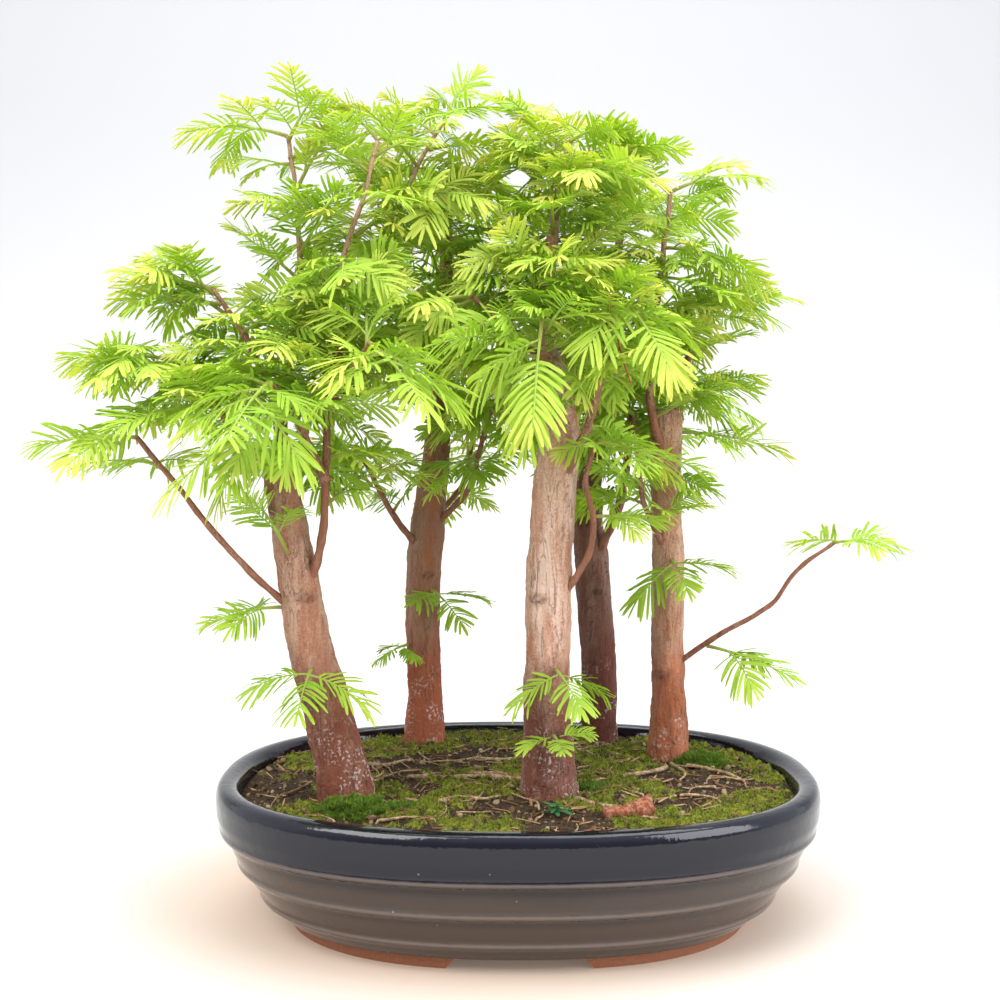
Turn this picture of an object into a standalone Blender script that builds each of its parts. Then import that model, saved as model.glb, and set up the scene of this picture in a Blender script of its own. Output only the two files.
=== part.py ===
"""Dawn redwood bonsai forest: five trunks in an oval glazed tray of mossy soil, with feathery sprays.

The tables and the shape functions work in millimetres, from a zero on the floor under the tray's
centre: +X is right, +Y is back and +Z is up. Lengths become metres where an object is made. At the end
one empty moves the whole forest, so that the origin is under the middle of its bounding box.
"""
import math
import random

import bmesh
import bpy
import numpy as np
from mathutils import Vector
from mathutils.bvhtree import BVHTree

MM = 0.001
NAME = "dawn_redwood_forest"
GAP = 0.3                      # between touching pieces

# Tray
TRAY_SIDES = 36
OVAL_POWER = 2.35              # 2 is an ellipse, and more is squarer
LIP_HALF = (123.0, 96.0)       # half length and half depth at the widest line of the lip
BASE_HALF = (97.5, 78.0)       # the same at the edge of the underside
FOOT_HEIGHT = 5.5
FLOOR_TOP = 11.5
FLOOR_HALF = (90.0, 70.5)
FLOOR_CURVE = (4.0, 18.0)      # how far out and how high the floor has curved up there
INNER_WALL_LOW = 42.0          # the rim's inner face starts here
FOOT_RING_INSET = 2.5
FOOT_RING_WIDTH = 16.0
FOOT_TAPER = 1.5               # towards the ground
FOOT_ROOT = 1.5                # how far a foot runs up into the wall
MIDDLE_CUT = (-1.0, 9.0)       # heights of what is cut out inside the ring of feet
FRONT_CHANNEL_WIDTH = 46.0     # between the feet, seen from the front
SIDE_CHANNEL_WIDTH = 34.0
CHANNEL_SLOPE = (5.0, -2.5)    # how far each side of a channel leans out at its bottom and its top
CHANNEL_HEIGHTS = (-1.0, 8.5)
CHANNEL_REACH = 150.0
DRAIN_RADIUS = 7.0
DRAIN_X = 45.0
DRAIN_SIDES = 12
DRAIN_CUT = 46.0               # length of the cutter, half of it below zero

# The outer wall as (height, flare): flare 0 is the base outline and 1 is the lip outline.
WALL = [
    (5.5, 0.02), (8.0, 0.14), (11.4, 0.285), (12.6, 0.295), (23.4, 0.595), (25.4, 0.65),
    (36.6, 0.86), (38.6, 0.92), (44.0, 0.985), (50.0, 1.0),
]
# The rim as (inset from the lip outline, height), over the top and down inside.
RIM = [(0.9, 54.2), (2.9, 56.0), (7.2, 55.8), (9.5, 53.0), (11.5, INNER_WALL_LOW)]

# Drain screens
SCREEN_HALF = 12.0
SCREEN_THICK = 1.0
SCREEN_HOLE = 5.0
SCREEN_PITCH = 7.0
SCREEN_CUT = 5.0

# Soil
SOIL_RINGS = (0.4, 0.76)
SOIL_BOTTOM = FLOOR_TOP + SCREEN_THICK + 3 * GAP
SOIL_EDGE = 49.6
SOIL_MOUND = 4.2
SOIL_MOUND_POWER = 2.5
SOIL_SLOPE = 0.02              # rise towards the back, per millimetre
SOIL_WAVE = 0.7                # height of the waves in the soil, of these lengths along x and y
SOIL_WAVES = (17.0, 13.0)
SOIL_GAP = 0.4                 # beside the soil, where facets would narrow the plain gap
FACET_SPARE = 1.12             # a grown tube is this much wider, because its flats are nearer
SOIL_LIFT = 0.36               # between the soil and what lies on it
TRUNK_BERTH = 1.0              # between a trunk and what lies beside it

# Wood: each trunk runs up from its buried end, as (x, y, z, radius).
TRUNKS = {
    "left": [
        (-66, -30, 28, 12.0), (-67, -31, 52, 11.0), (-71, -31, 71, 9.8), (-77, -32, 95, 9.0),
        (-82, -33, 115, 8.3), (-85, -34, 135, 7.9), (-88, -34, 154, 7.2), (-91, -34, 172, 6.2),
        (-93, -34, 184, 5.6), (-92, -33, 189, 2.9), (-93, -31, 208, 2.4),
    ],
    "back_left": [
        (-42, 61, 29, 9.8), (-42, 61, 54, 9.0), (-42, 61, 82, 7.9), (-43, 61, 110, 7.8),
        (-42, 61, 138, 7.9), (-39, 62, 165, 7.2), (-36, 62, 188, 6.0), (-35, 61, 211, 4.8),
        (-34, 61, 234, 4.1), (-32, 60, 256, 3.4), (-31, 54, 288, 2.4), (-29, 46, 312, 1.4),
    ],
    "front": [
        (13, -27, 28, 12.2), (13, -27, 53, 11.2), (12, -28, 74, 10.0), (11, -28, 94, 9.1),
        (12, -28, 114, 8.8), (12, -28, 134, 9.0), (13, -28, 154, 8.6), (14, -27, 173, 8.4),
        (16, -26, 193, 8.2), (14, -25, 209, 7.0), (12, -23, 228, 5.0), (12, -20, 256, 2.9),
        (16, -10, 290, 1.9), (21, 0, 314, 1.2),
    ],
    "back_centre": [
        (39, 66, 30, 9.4), (39, 66, 56, 8.8), (39, 65, 77, 7.9), (38, 65, 100, 8.1),
        (36, 66, 123, 7.8), (35, 67, 142, 7.4), (33, 68, 160, 6.9), (34, 69, 179, 6.0),
        (37, 70, 200, 4.8), (41, 70, 228, 3.8), (45, 67, 262, 2.6), (48, 64, 290, 1.5),
    ],
    "right": [
        (67, 31, 29, 9.8), (67, 31, 54, 9.0), (67, 30, 79, 7.5), (66, 30, 101, 7.0),
        (66, 30, 123, 7.0), (66, 30, 145, 6.6), (65, 30, 167, 6.5), (65, 30, 188, 6.5),
        (65, 30, 206, 6.8),
    ],
}

# Limbs, by tree: name, what it grows from, the height or share of length there, the points that it
# passes through, and its radius at its start and its tip.
LIMBS = {
    "left": [
        ("lower_twig", "trunk", 122, [(-109, -42, 149), (-128, -47, 174), (-143, -52, 194)], 1.8, 1.1),
        ("right_riser", "trunk", 130, [(-76, -40, 152), (-74, -39, 181), (-73, -36, 210),
                                       (-68, -30, 238)], 2.3, 1.5),
        ("right_leader", "right_riser", 0.97, [(-57, -13, 266), (-42, 3, 303), (-29, 12, 328)], 1.5, 1.0),
        ("middle_leader", "right_riser", 0.9, [(-68, -34, 260), (-60, -28, 288), (-55, -22, 310)], 1.4, 1.0),
        ("pale_leader", "trunk", 206, [(-88, -28, 228), (-86, -22, 252), (-88, -15, 288),
                                       (-92, -12, 314)], 1.8, 1.1),
        ("left_limb", "trunk", 178, [(-108, -42, 196), (-122, -40, 214), (-134, -38, 224)], 2.1, 1.2),
        ("upper_left", "trunk", 205, [(-106, -28, 232), (-120, -22, 252)], 1.9, 1.2),
        ("back_limb", "trunk", 190, [(-100, -8, 210), (-106, 18, 226)], 1.9, 1.2),
        ("front_limb", "right_riser", 0.45, [(-82, -58, 200), (-90, -70, 214)], 1.8, 1.2),
        ("front_right", "right_riser", 0.7, [(-62, -58, 218), (-54, -72, 228)], 1.6, 1.1),
    ],
    "back_left": [
        ("left_limb", "trunk", 140, [(-54, 50, 157), (-63, 42, 175), (-70, 34, 190)], 2.1, 1.2),
        ("front_limb", "trunk", 150, [(-22, 51, 170), (-15, 45, 193), (-8, 38, 214)], 2.0, 1.2),
        ("back_limb", "trunk", 154, [(-26, 76, 170), (-20, 84, 190)], 2.0, 1.2),
        ("upper_left", "trunk", 222, [(-54, 70, 242), (-66, 76, 256)], 1.8, 1.2),
        ("upper_back", "trunk", 250, [(-33, 74, 262), (-36, 84, 270)], 1.6, 1.1),
    ],
    "front": [
        ("right_limb", "trunk", 170, [(27, -40, 200), (33, -43, 227), (36, -45, 248)], 2.4, 1.3),
        ("sinuous_limb", "trunk", 124, [(26, -35, 146), (29, -35, 162), (26, -33, 177),
                                        (30, -34, 192)], 1.8, 1.2),
        ("front_limb", "trunk", 208, [(9, -46, 226), (8, -62, 236)], 2.0, 1.2),
        ("left_limb", "trunk", 222, [(-6, -32, 238), (-18, -38, 248)], 1.9, 1.2),
    ],
    "back_centre": [
        ("second_stem", "trunk", 134, [(46, 55, 161), (50, 50, 184), (52, 46, 204)], 3.2, 1.6),
        ("back_limb", "trunk", 196, [(42, 82, 214), (46, 90, 228)], 2.0, 1.2),
        ("right_limb", "trunk", 188, [(58, 82, 204), (74, 88, 216)], 2.0, 1.2),
    ],
    "right": [
        ("lone_limb", "trunk", 92, [(84, 21, 107), (108, 14, 123), (117, 10, 137), (132, 5, 150)], 1.6, 1.0),
        ("left_limb", "trunk", 142, [(54, 15, 166), (50, 8, 188)], 1.8, 1.1),
        ("riser", "trunk", 182, [(58, 19, 201), (56, 15, 219), (58, 12, 244), (61, 10, 272),
                                 (64, 10, 296)], 2.6, 1.2),
        ("top_limb", "trunk", 199, [(75, 34, 228), (82, 36, 252)], 2.3, 1.2),
    ],
}

# Sprays, by tree: the limb, the height or share of its length there, then the shoot's azimuth
# (0 right, 90 back), its rise in degrees, its bare length, its pairs of fronds, its roll in degrees
# and the size of its fronds.
SPRAYS = {
    "left": [
        ("lower_twig", 1, 192, 4, 13, 1, 28, 1.0), ("lower_twig", 0.84, 128, 12, 20, 1, -20, 1.0),
        ("left_limb", 1, 184, 8, 15, 2, 26, 1.0), ("left_limb", 0.6, 232, -12, 22, 2, -20, 1.0),
        ("upper_left", 1, 172, 14, 18, 2, 25, 1.0), ("upper_left", 0.7, 110, 18, 24, 2, -10, 1.0),
        ("pale_leader", 1, 186, 16, 18, 2, 25, 1.0), ("pale_leader", 0.92, 350, 10, 15, 1, 30, 1.0),
        ("pale_leader", 0.6, 60, 10, 24, 2, 0, 1.0), ("back_limb", 1, 128, 6, 22, 2, 10, 1.0),
        ("front_limb", 1, 262, -16, 24, 2, 15, 1.1), ("front_limb", 0.7, 205, -6, 24, 2, -25, 1.0),
        ("front_right", 1, 300, -20, 24, 2, -15, 1.1),
        ("right_leader", 1, 70, 50, 12, 1, 20, 0.8), ("right_leader", 0.6, 320, 8, 24, 2, 25, 1.0),
        ("trunk", 106, 268, -10, 9, 1, 10, 0.95), ("trunk", 140, 250, 50, 24, 1, 60, 0.9),
        ("trunk", 128, 186, 0, 12, 1, -20, 0.8),
    ],
    "back_left": [
        ("left_limb", 1, 206, 0, 22, 2, 20, 1.0), ("front_limb", 1, 280, -6, 24, 2, -20, 1.0),
        ("back_limb", 1, 76, 0, 22, 2, 10, 1.0), ("upper_left", 1, 158, 8, 24, 2, 15, 1.0),
        ("upper_back", 1, 98, 12, 22, 2, -10, 1.0), ("trunk", 309, 168, 20, 22, 2, 20, 1.0),
        ("trunk", 282, 318, 10, 24, 2, -15, 1.0),
        ("trunk", 126, 300, -10, 12, 1, 15, 0.8), ("trunk", 100, 220, -4, 8, 1, 10, 0.5),
    ],
    "front": [
        ("right_limb", 1, 292, -22, 24, 2, 10, 1.1), ("sinuous_limb", 1, 338, -6, 22, 1, -20, 1.0),
        ("front_limb", 1, 262, -48, 16, 2, 5, 1.15), ("front_limb", 0.7, 214, -12, 22, 2, 20, 1.05),
        ("left_limb", 1, 196, -4, 24, 2, -20, 1.0),
        ("trunk", 310, 96, 30, 20, 2, 10, 1.0), ("trunk", 292, 326, 10, 24, 2, 20, 1.0),
        ("trunk", 106, 290, -14, 8, 1, 5, 0.75), ("trunk", 78, 280, 2, 7, 1, 0, 0.5),
    ],
    "back_centre": [
        ("trunk", 287, 36, 16, 22, 2, 15, 1.0), ("trunk", 262, 140, 10, 24, 2, -15, 1.0),
        ("back_limb", 1, 84, 4, 22, 2, 0, 1.0), ("right_limb", 1, 18, 0, 22, 2, 20, 1.0),
        ("second_stem", 1, 262, -4, 20, 1, 20, 1.0),
    ],
    "right": [
        ("lone_limb", 1, 296, 10, 8, 1, 20, 0.9), ("lone_limb", 0.22, 340, -10, 16, 1, 15, 0.9),
        ("riser", 1, 14, 25, 20, 2, 20, 1.0), ("riser", 0.7, 296, -6, 24, 2, -15, 1.05),
        ("top_limb", 1, 2, 12, 16, 2, 20, 1.0), ("trunk", 196, 350, 0, 20, 1, -25, 1.0),
        ("trunk", 142, 276, -8, 10, 1, 10, 0.9),
    ],
}
SHOOT_THICKNESS = 2.0          # of a shoot's foot, against the rib of a frond
SHOOT_SIZES = (0.92, 1.02)     # of the end frond, as drawn by chance
SIDE_SIZES = (0.88, 1.06)      # of the side fronds
PAIR_SHRINK = 0.06             # from each pair of fronds to the next
FIRST_PAIR = 8.0               # along the shoot, or this share of a short one
FIRST_PAIR_SHARE = 0.45
PAIR_STAGGER = 0.3             # along the shoot, to either side of the pair's place
SIDE_START = 0.2               # of a side frond, out from the middle of its shoot
PAIR_ANGLE = 56.0              # between a frond and its shoot
TUFT_LENGTH = 10.0             # a shorter shoot spreads its fronds wide
TUFT_ANGLE = 82.0
ANGLE_CHANCE = 6.0             # either way, in degrees
ROLL_SHARE = 0.5               # of the shoot's roll, that its side fronds take
ROLL_CHANCE = 28.0
SEED = 7

# Frond: a slim three-sided rib with flat needles in opposite pairs.
END_PAIRS = 5                  # of needles, on the frond at the end of a shoot
SIDE_PAIRS = 4                 # on the others
NEEDLED_LENGTH = 24.0          # of the rib
LAST_NEEDLE = 6.0              # beyond the last pair
FROND_LENGTH = NEEDLED_LENGTH + LAST_NEEDLE
ROOT_LENGTH = 3.2              # bare, on a side frond
NEEDLE_LENGTH = 12.5
NEEDLE_ANGLES = (66.0, 40.0)   # to the rib, for the first pair and the last
NEEDLE_SHORTEST = 0.62         # share of the needle length
NEEDLE_SWELL = 0.4             # share that is added in the middle of the frond
SWELL_FROM, SWELL_SPAN = 0.12, 0.85
NEEDLE_SAG = 0.08
RIB_HALF_WIDTH = 0.55
RIB_TOP = 0.4
RIB_BOTTOM = 0.75
RIB_CORNERS = [(RIB_HALF_WIDTH, RIB_TOP), (-RIB_HALF_WIDTH, RIB_TOP), (0.0, -RIB_BOTTOM)]
RIB_END_DROP = 0.5
FROND_DROOP = 0.3              # of its length, at its tip
SHOOT_DROOPS = (0.6, 1.2)
SIDE_DROOPS = (0.6, 1.5)
CLEARANCE = 2.9                # between sample points of two sprays
OWN_CLEARANCE = 2.0            # between sample points of two fronds of a spray
WOOD_CLEARANCE = 1.6
SEAT_STEP = 0.05               # in which a shoot's foot is moved back to its seat on the bark
MOST_SEAT_STEPS = 60
SEAT_PARTS = 6                 # of each side of the foot, between tested points
SEAT_SLICES = (0.0, 0.4, 0.8, 1.2, 1.6)
RIB_SAMPLE = 3.0               # from one sample point to the next
RIB_SAMPLE_START = 2.0
NEEDLE_SAMPLES = (0.3, 0.55, 0.8, 1.0)
# A frond that would cross its neighbours tries these turns, lifts and rolls in degrees, in order.
TRIES = [(0, 0, 0), (0, 14, 0), (0, -16, 0), (10, 8, 25), (-10, -8, -25), (0, 28, 35), (0, -32, -35),
         (18, -22, 50), (-18, 22, -50)]

# Moss cushions as (x, y, half length, half depth, height) and the cut root on the soil
MOSS = [(-64, -46, 15, 11, 6.5), (80, 24, 14, 11, 6.0)]
MOSS_SWELL = 0.12
ROOT_STUB = [(32, -57, 2.6), (42, -54, 3.4), (50, -50, 4.6)]
ROOT_STUB_RISE = 0.6           # of its radius, from the soil to its middle

BARK = {
    "left": (0.24, 0.10, 0.07), "back_left": (0.27, 0.13, 0.08), "front": (0.36, 0.20, 0.15),
    "back_centre": (0.17, 0.08, 0.06), "right": (0.33, 0.16, 0.10),
}


def clear_scene():
    for item in list(bpy.data.objects):
        bpy.data.objects.remove(item, do_unlink=True)


def new_collection(name):
    made = bpy.data.collections.new(name)
    bpy.context.scene.collection.children.link(made)
    return made


def material(name, colour, roughness):
    made = bpy.data.materials.new(name)
    made.use_nodes = True
    shader = made.node_tree.nodes["Principled BSDF"]
    shader.inputs["Base Color"].default_value = (*colour, 1.0)
    shader.inputs["Roughness"].default_value = roughness
    shader.inputs["Metallic"].default_value = 0.0
    return made


def object_from_bmesh(shape, name, collection):
    """Takes a bmesh in millimetres and makes an object in metres."""
    bmesh.ops.scale(shape, vec=(MM, MM, MM), verts=shape.verts)
    bmesh.ops.recalc_face_normals(shape, faces=shape.faces)
    mesh = bpy.data.meshes.new(name)
    shape.to_mesh(mesh)
    shape.free()
    made = bpy.data.objects.new(name, mesh)
    collection.objects.link(made)
    return made


def bake_modifiers(item):
    """Turns an object with modifiers into a plain mesh object."""
    bpy.context.view_layer.update()
    graph = bpy.context.evaluated_depsgraph_get()
    mesh = bpy.data.meshes.new_from_object(item.evaluated_get(graph))
    item.modifiers.clear()
    old = item.data
    item.data = mesh
    bpy.data.meshes.remove(old)


def boolean(item, others, operation, solver="EXACT"):
    """One Boolean of item with all the others, applied. The others are removed."""
    helpers = bpy.data.collections.new("operands")
    for other in others:
        for user in list(other.users_collection):
            user.objects.unlink(other)
        helpers.objects.link(other)
    modifier = item.modifiers.new(operation.lower(), "BOOLEAN")
    modifier.operation = operation
    modifier.operand_type = "COLLECTION"
    modifier.collection = helpers
    modifier.solver = solver
    bake_modifiers(item)
    for other in others:
        mesh = other.data
        bpy.data.objects.remove(other, do_unlink=True)
        bpy.data.meshes.remove(mesh)
    bpy.data.collections.remove(helpers)


def tube(name, points, rounds, collection):
    """A closed tube through (x, y, z, radius) points, as a mesh. rounds 0 gives 4 sides and 2 gives 8."""
    curve = bpy.data.curves.new(name, "CURVE")
    curve.dimensions = "3D"
    curve.bevel_depth = MM
    curve.bevel_resolution = rounds
    curve.use_fill_caps = True
    spline = curve.splines.new("POLY")
    spline.points.add(len(points) - 1)
    for point, (x, y, z, radius) in zip(spline.points, points):
        point.co = (x * MM, y * MM, z * MM, 1.0)
        point.radius = radius
    guide = bpy.data.objects.new(name, curve)
    collection.objects.link(guide)
    bpy.context.view_layer.update()
    graph = bpy.context.evaluated_depsgraph_get()
    mesh = bpy.data.meshes.new_from_object(guide.evaluated_get(graph))
    made = bpy.data.objects.new(name, mesh)
    made.matrix_world = guide.matrix_world
    bpy.data.objects.remove(guide, do_unlink=True)
    bpy.data.curves.remove(curve)
    made.name = name
    collection.objects.link(made)
    shape = bmesh.new()
    shape.from_mesh(mesh)
    bmesh.ops.remove_doubles(shape, verts=shape.verts, dist=0.00002)
    bmesh.ops.recalc_face_normals(shape, faces=shape.faces)
    shape.to_mesh(mesh)
    shape.free()
    return made


# The oval of the tray

def oval_point(angle, half):
    """The point at this angle of an oval with these half sizes."""
    along, across = math.cos(angle), math.sin(angle)
    power = 2.0 / OVAL_POWER
    x = math.copysign(abs(along) ** power, along) * half[0]
    y = math.copysign(abs(across) ** power, across) * half[1]
    return x, y


def oval_radius(x, y, half):
    """0 at the centre and 1 on the oval with these half sizes."""
    total = abs(x / half[0]) ** OVAL_POWER + abs(y / half[1]) ** OVAL_POWER
    return total ** (1.0 / OVAL_POWER)


def inset(amount):
    return LIP_HALF[0] - amount, LIP_HALF[1] - amount


def wall_half(height):
    """Half sizes of the outer wall at this height."""
    heights, flares = zip(*WALL)
    flare = float(np.interp(height, heights, flares))
    return tuple(b + flare * (t - b) for b, t in zip(BASE_HALF, LIP_HALF))


def oval_loft(rings, sides):
    """A closed bmesh through ovals, each ((half length, half depth), height), with flat ends."""
    shape = bmesh.new()
    start = bmesh.ops.create_circle(shape, segments=sides, radius=1.0, cap_ends=False)
    ring = start["verts"]
    edges = list(shape.edges)
    angles = [2 * math.pi * i / sides for i in range(sides)]
    caps = []
    for index, (half, height) in enumerate(rings):
        if index:
            grown = bmesh.ops.extrude_edge_only(shape, edges=edges)["geom"]
            ring = [item for item in grown if isinstance(item, bmesh.types.BMVert)]
            edges = [item for item in grown if isinstance(item, bmesh.types.BMEdge)
                     and all(vert in ring for vert in item.verts)]
        for vert, angle in zip(ring, angles):
            vert.co = (*oval_point(angle, half), height)
        if index in (0, len(rings) - 1):
            caps.append(list(edges))
    for rim in caps:
        bmesh.ops.contextual_create(shape, geom=rim)
    return shape


def make_tray(collection, cutters):
    rings = [(wall_half(height), height) for height, _ in WALL]
    rings += [(inset(amount), height) for amount, height in RIM]
    rings += [(inner_half(FLOOR_CURVE[1]), FLOOR_CURVE[1]), (FLOOR_HALF, FLOOR_TOP)]
    tray = object_from_bmesh(oval_loft(rings, TRAY_SIDES), "tray", collection)

    outer = tuple(size - FOOT_RING_INSET for size in BASE_HALF)
    inner = tuple(size - FOOT_RING_WIDTH for size in outer)
    sole = tuple(size - FOOT_TAPER for size in outer)
    foot_rings = [(sole, 0.0), (outer, FOOT_HEIGHT), (outer, FOOT_HEIGHT + FOOT_ROOT)]
    feet = object_from_bmesh(oval_loft(foot_rings, TRAY_SIDES), "feet", cutters)
    middle_rings = [(inner, height) for height in MIDDLE_CUT]
    middle = object_from_bmesh(oval_loft(middle_rings, TRAY_SIDES), "middle", cutters)
    channels = [channel(FRONT_CHANNEL_WIDTH, 0.0, cutters), channel(SIDE_CHANNEL_WIDTH, math.pi / 2, cutters)]
    boolean(feet, [middle, *channels], "DIFFERENCE")
    boolean(tray, [feet], "UNION")

    drains = []
    for side in (-1, 1):
        shape = bmesh.new()
        bmesh.ops.create_cone(shape, cap_ends=True, segments=DRAIN_SIDES, radius1=DRAIN_RADIUS,
                              radius2=DRAIN_RADIUS, depth=DRAIN_CUT)
        bmesh.ops.translate(shape, vec=(side * DRAIN_X, 0, 0), verts=shape.verts)
        drains.append(object_from_bmesh(shape, "drain", cutters))
    boolean(tray, drains, "DIFFERENCE")
    return tray


def channel(width, turn, cutters):
    """A bar whose sides slope out downwards, right across the tray under its floor."""
    shape = bmesh.new()
    bmesh.ops.create_cube(shape, size=1.0)
    for vert in shape.verts:
        level = 0 if vert.co.z < 0 else 1
        x = math.copysign(width / 2 + CHANNEL_SLOPE[level], vert.co.x)
        y = math.copysign(CHANNEL_REACH, vert.co.y)
        vert.co.x = x * math.cos(turn) - y * math.sin(turn)
        vert.co.y = x * math.sin(turn) + y * math.cos(turn)
        vert.co.z = CHANNEL_HEIGHTS[level]
    return object_from_bmesh(shape, "channel", cutters)


def make_screen(side, collection, cutters):
    """A square of plastic mesh that keeps the soil off a drain hole."""
    shape = bmesh.new()
    bmesh.ops.create_cube(shape, size=1.0)
    bmesh.ops.scale(shape, vec=(2 * SCREEN_HALF, 2 * SCREEN_HALF, SCREEN_THICK), verts=shape.verts)
    middle = FLOOR_TOP + GAP + SCREEN_THICK / 2
    bmesh.ops.translate(shape, vec=(side * DRAIN_X, 0, middle), verts=shape.verts)
    name = "drain_screen_left" if side < 0 else "drain_screen_right"
    screen = object_from_bmesh(shape, name, collection)
    holes = []
    for row in (-0.5, 0.5):
        for column in (-0.5, 0.5):
            shape = bmesh.new()
            bmesh.ops.create_cube(shape, size=1.0)
            bmesh.ops.scale(shape, vec=(SCREEN_HOLE, SCREEN_HOLE, SCREEN_CUT), verts=shape.verts)
            centre = (side * DRAIN_X + column * SCREEN_PITCH, row * SCREEN_PITCH, middle)
            bmesh.ops.translate(shape, vec=centre, verts=shape.verts)
            holes.append(object_from_bmesh(shape, "hole", cutters))
    boolean(screen, holes, "DIFFERENCE")
    return screen


# Soil and what lies on it

def inner_half(height):
    """Half sizes of the tray's inner wall at this height."""
    spread, curved = FLOOR_CURVE
    stops = [(FLOOR_TOP, FLOOR_HALF), (curved, tuple(size + spread for size in FLOOR_HALF))]
    stops += [(z, inset(amount)) for amount, z in reversed(RIM[3:])]
    heights = [z for z, _ in stops]
    return tuple(float(np.interp(height, heights, [half[axis] for _, half in stops])) for axis in (0, 1))


def soil_height(x, y):
    """The height of the soil's surface, which the mound, the slope and the waves make."""
    out = min(oval_radius(x, y, inner_half(SOIL_EDGE)), 1.0)
    waves = SOIL_WAVE * math.sin(x / SOIL_WAVES[0] + 1.0) * math.sin(y / SOIL_WAVES[1])
    return SOIL_EDGE + SOIL_MOUND * (1 - out ** SOIL_MOUND_POWER) + SOIL_SLOPE * y + waves * (1 - out)


def make_soil(collection, cutters):
    levels = [SOIL_BOTTOM, FLOOR_CURVE[1], INNER_WALL_LOW, SOIL_EDGE]
    rings = [(tuple(size - SOIL_GAP for size in inner_half(z)), z) for z in levels]
    edge = rings[-1][0]
    rings += [(tuple(size * share for size in edge), SOIL_EDGE) for share in reversed(SOIL_RINGS)]
    shape = oval_loft(rings, TRAY_SIDES)
    for vert in shape.verts:
        if vert.co.z >= SOIL_EDGE:
            vert.co.z = soil_height(vert.co.x, vert.co.y)
    soil = object_from_bmesh(shape, "soil", collection)
    boolean(soil, [trunk_cutter(tree, SOIL_GAP, cutters) for tree in TRUNKS], "DIFFERENCE")
    return soil


def trunk_cutter(tree, gap, cutters):
    """The foot of a trunk grown by gap on every side: its hole in the soil."""
    points = [(x, y, z, radius + gap * FACET_SPARE) for x, y, z, radius in TRUNKS[tree][:3]]
    x, y, z, radius = points[0]
    points[0] = (x, y, z - gap, radius)
    return tube(f"hole_{tree}", points, 2, cutters)


def seat(piece, soil, cutters):
    """Cuts away what would lie in the soil or in a trunk, and leaves the gap."""
    lifted = bpy.data.objects.new("lifted_soil", soil.data.copy())
    lifted.location.z = SOIL_LIFT * MM
    cutters.objects.link(lifted)
    boolean(piece, [lifted], "DIFFERENCE")
    boolean(piece, [trunk_cutter(tree, TRUNK_BERTH, cutters) for tree in TRUNKS], "DIFFERENCE")


def make_moss(index, soil, collection, cutters):
    """A lumpy cushion on the soil, moulded round whatever it touches."""
    x, y, half_x, half_y, height = MOSS[index]
    shape = bmesh.new()
    bmesh.ops.create_icosphere(shape, subdivisions=2, radius=1.0)
    for vert in shape.verts:
        swell = 1 + MOSS_SWELL * math.sin(5 * vert.co.x + 3 * index) * math.cos(4 * vert.co.y + index)
        ground = soil_height(x + vert.co.x * half_x, y + vert.co.y * half_y)
        vert.co = (x + vert.co.x * half_x * swell, y + vert.co.y * half_y * swell,
                   ground + vert.co.z * height * swell)
    moss = object_from_bmesh(shape, f"moss_cushion_{index + 1}", collection)
    seat(moss, soil, cutters)
    return moss


def make_root_stub(soil, collection, cutters):
    points = [(x, y, soil_height(x, y) + radius * ROOT_STUB_RISE, radius) for x, y, radius in ROOT_STUB]
    stub = tube("root_stub", points, 2, collection)
    seat(stub, soil, cutters)
    return stub


# Wood

def path_point(points, share):
    """The (x, y, z, radius) at this share of the length of a route."""
    places = np.array(points, float)
    steps = np.linalg.norm(np.diff(places[:, :3], axis=0), axis=1)
    walked = np.concatenate([[0.0], np.cumsum(steps)])
    at = share * walked[-1]
    return np.array([np.interp(at, walked, places[:, axis]) for axis in range(4)])


def trunk_point(points, height):
    places = np.array(points, float)
    return np.array([np.interp(height, places[:, 2], places[:, axis]) for axis in range(4)])


def wood_of(tree):
    """Every route of a tree by name, each a list of (x, y, z, radius)."""
    routes = {"trunk": TRUNKS[tree]}
    for name, parent, where, passes, thick, thin in LIMBS[tree]:
        place = trunk_point if parent == "trunk" else path_point
        start = place(routes[parent], where)
        thickness = np.linspace(thick, thin, len(passes) + 1)
        routes[name] = [(*start[:3], thick)]
        routes[name] += [(*point, radius) for point, radius in zip(passes, thickness[1:])]
    return routes


def make_tree(tree, routes, collection, cutters):
    trunk = tube(f"tree_{tree}", routes["trunk"], 2, collection)
    limbs = [tube(name, route, 0, cutters) for name, route in routes.items() if name != "trunk"]
    boolean(trunk, limbs, "UNION")
    return trunk


# Foliage

def turned(direction, axis, degrees):
    """The direction turned about the axis."""
    angle = math.radians(degrees)
    return (direction * math.cos(angle) + np.cross(axis, direction) * math.sin(angle)
            + axis * np.dot(axis, direction) * (1 - math.cos(angle)))


def unit(vector):
    return vector / np.linalg.norm(vector)


def heading(azimuth, rise):
    around, up = math.radians(azimuth), math.radians(rise)
    return np.array([math.cos(around) * math.cos(up), math.sin(around) * math.cos(up), math.sin(up)])


def side_of(direction, roll):
    """The way across a flat frond that points in this direction, rolled about it."""
    return turned(unit(np.cross(direction, (0.0, 0.0, 1.0))), direction, roll)


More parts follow.
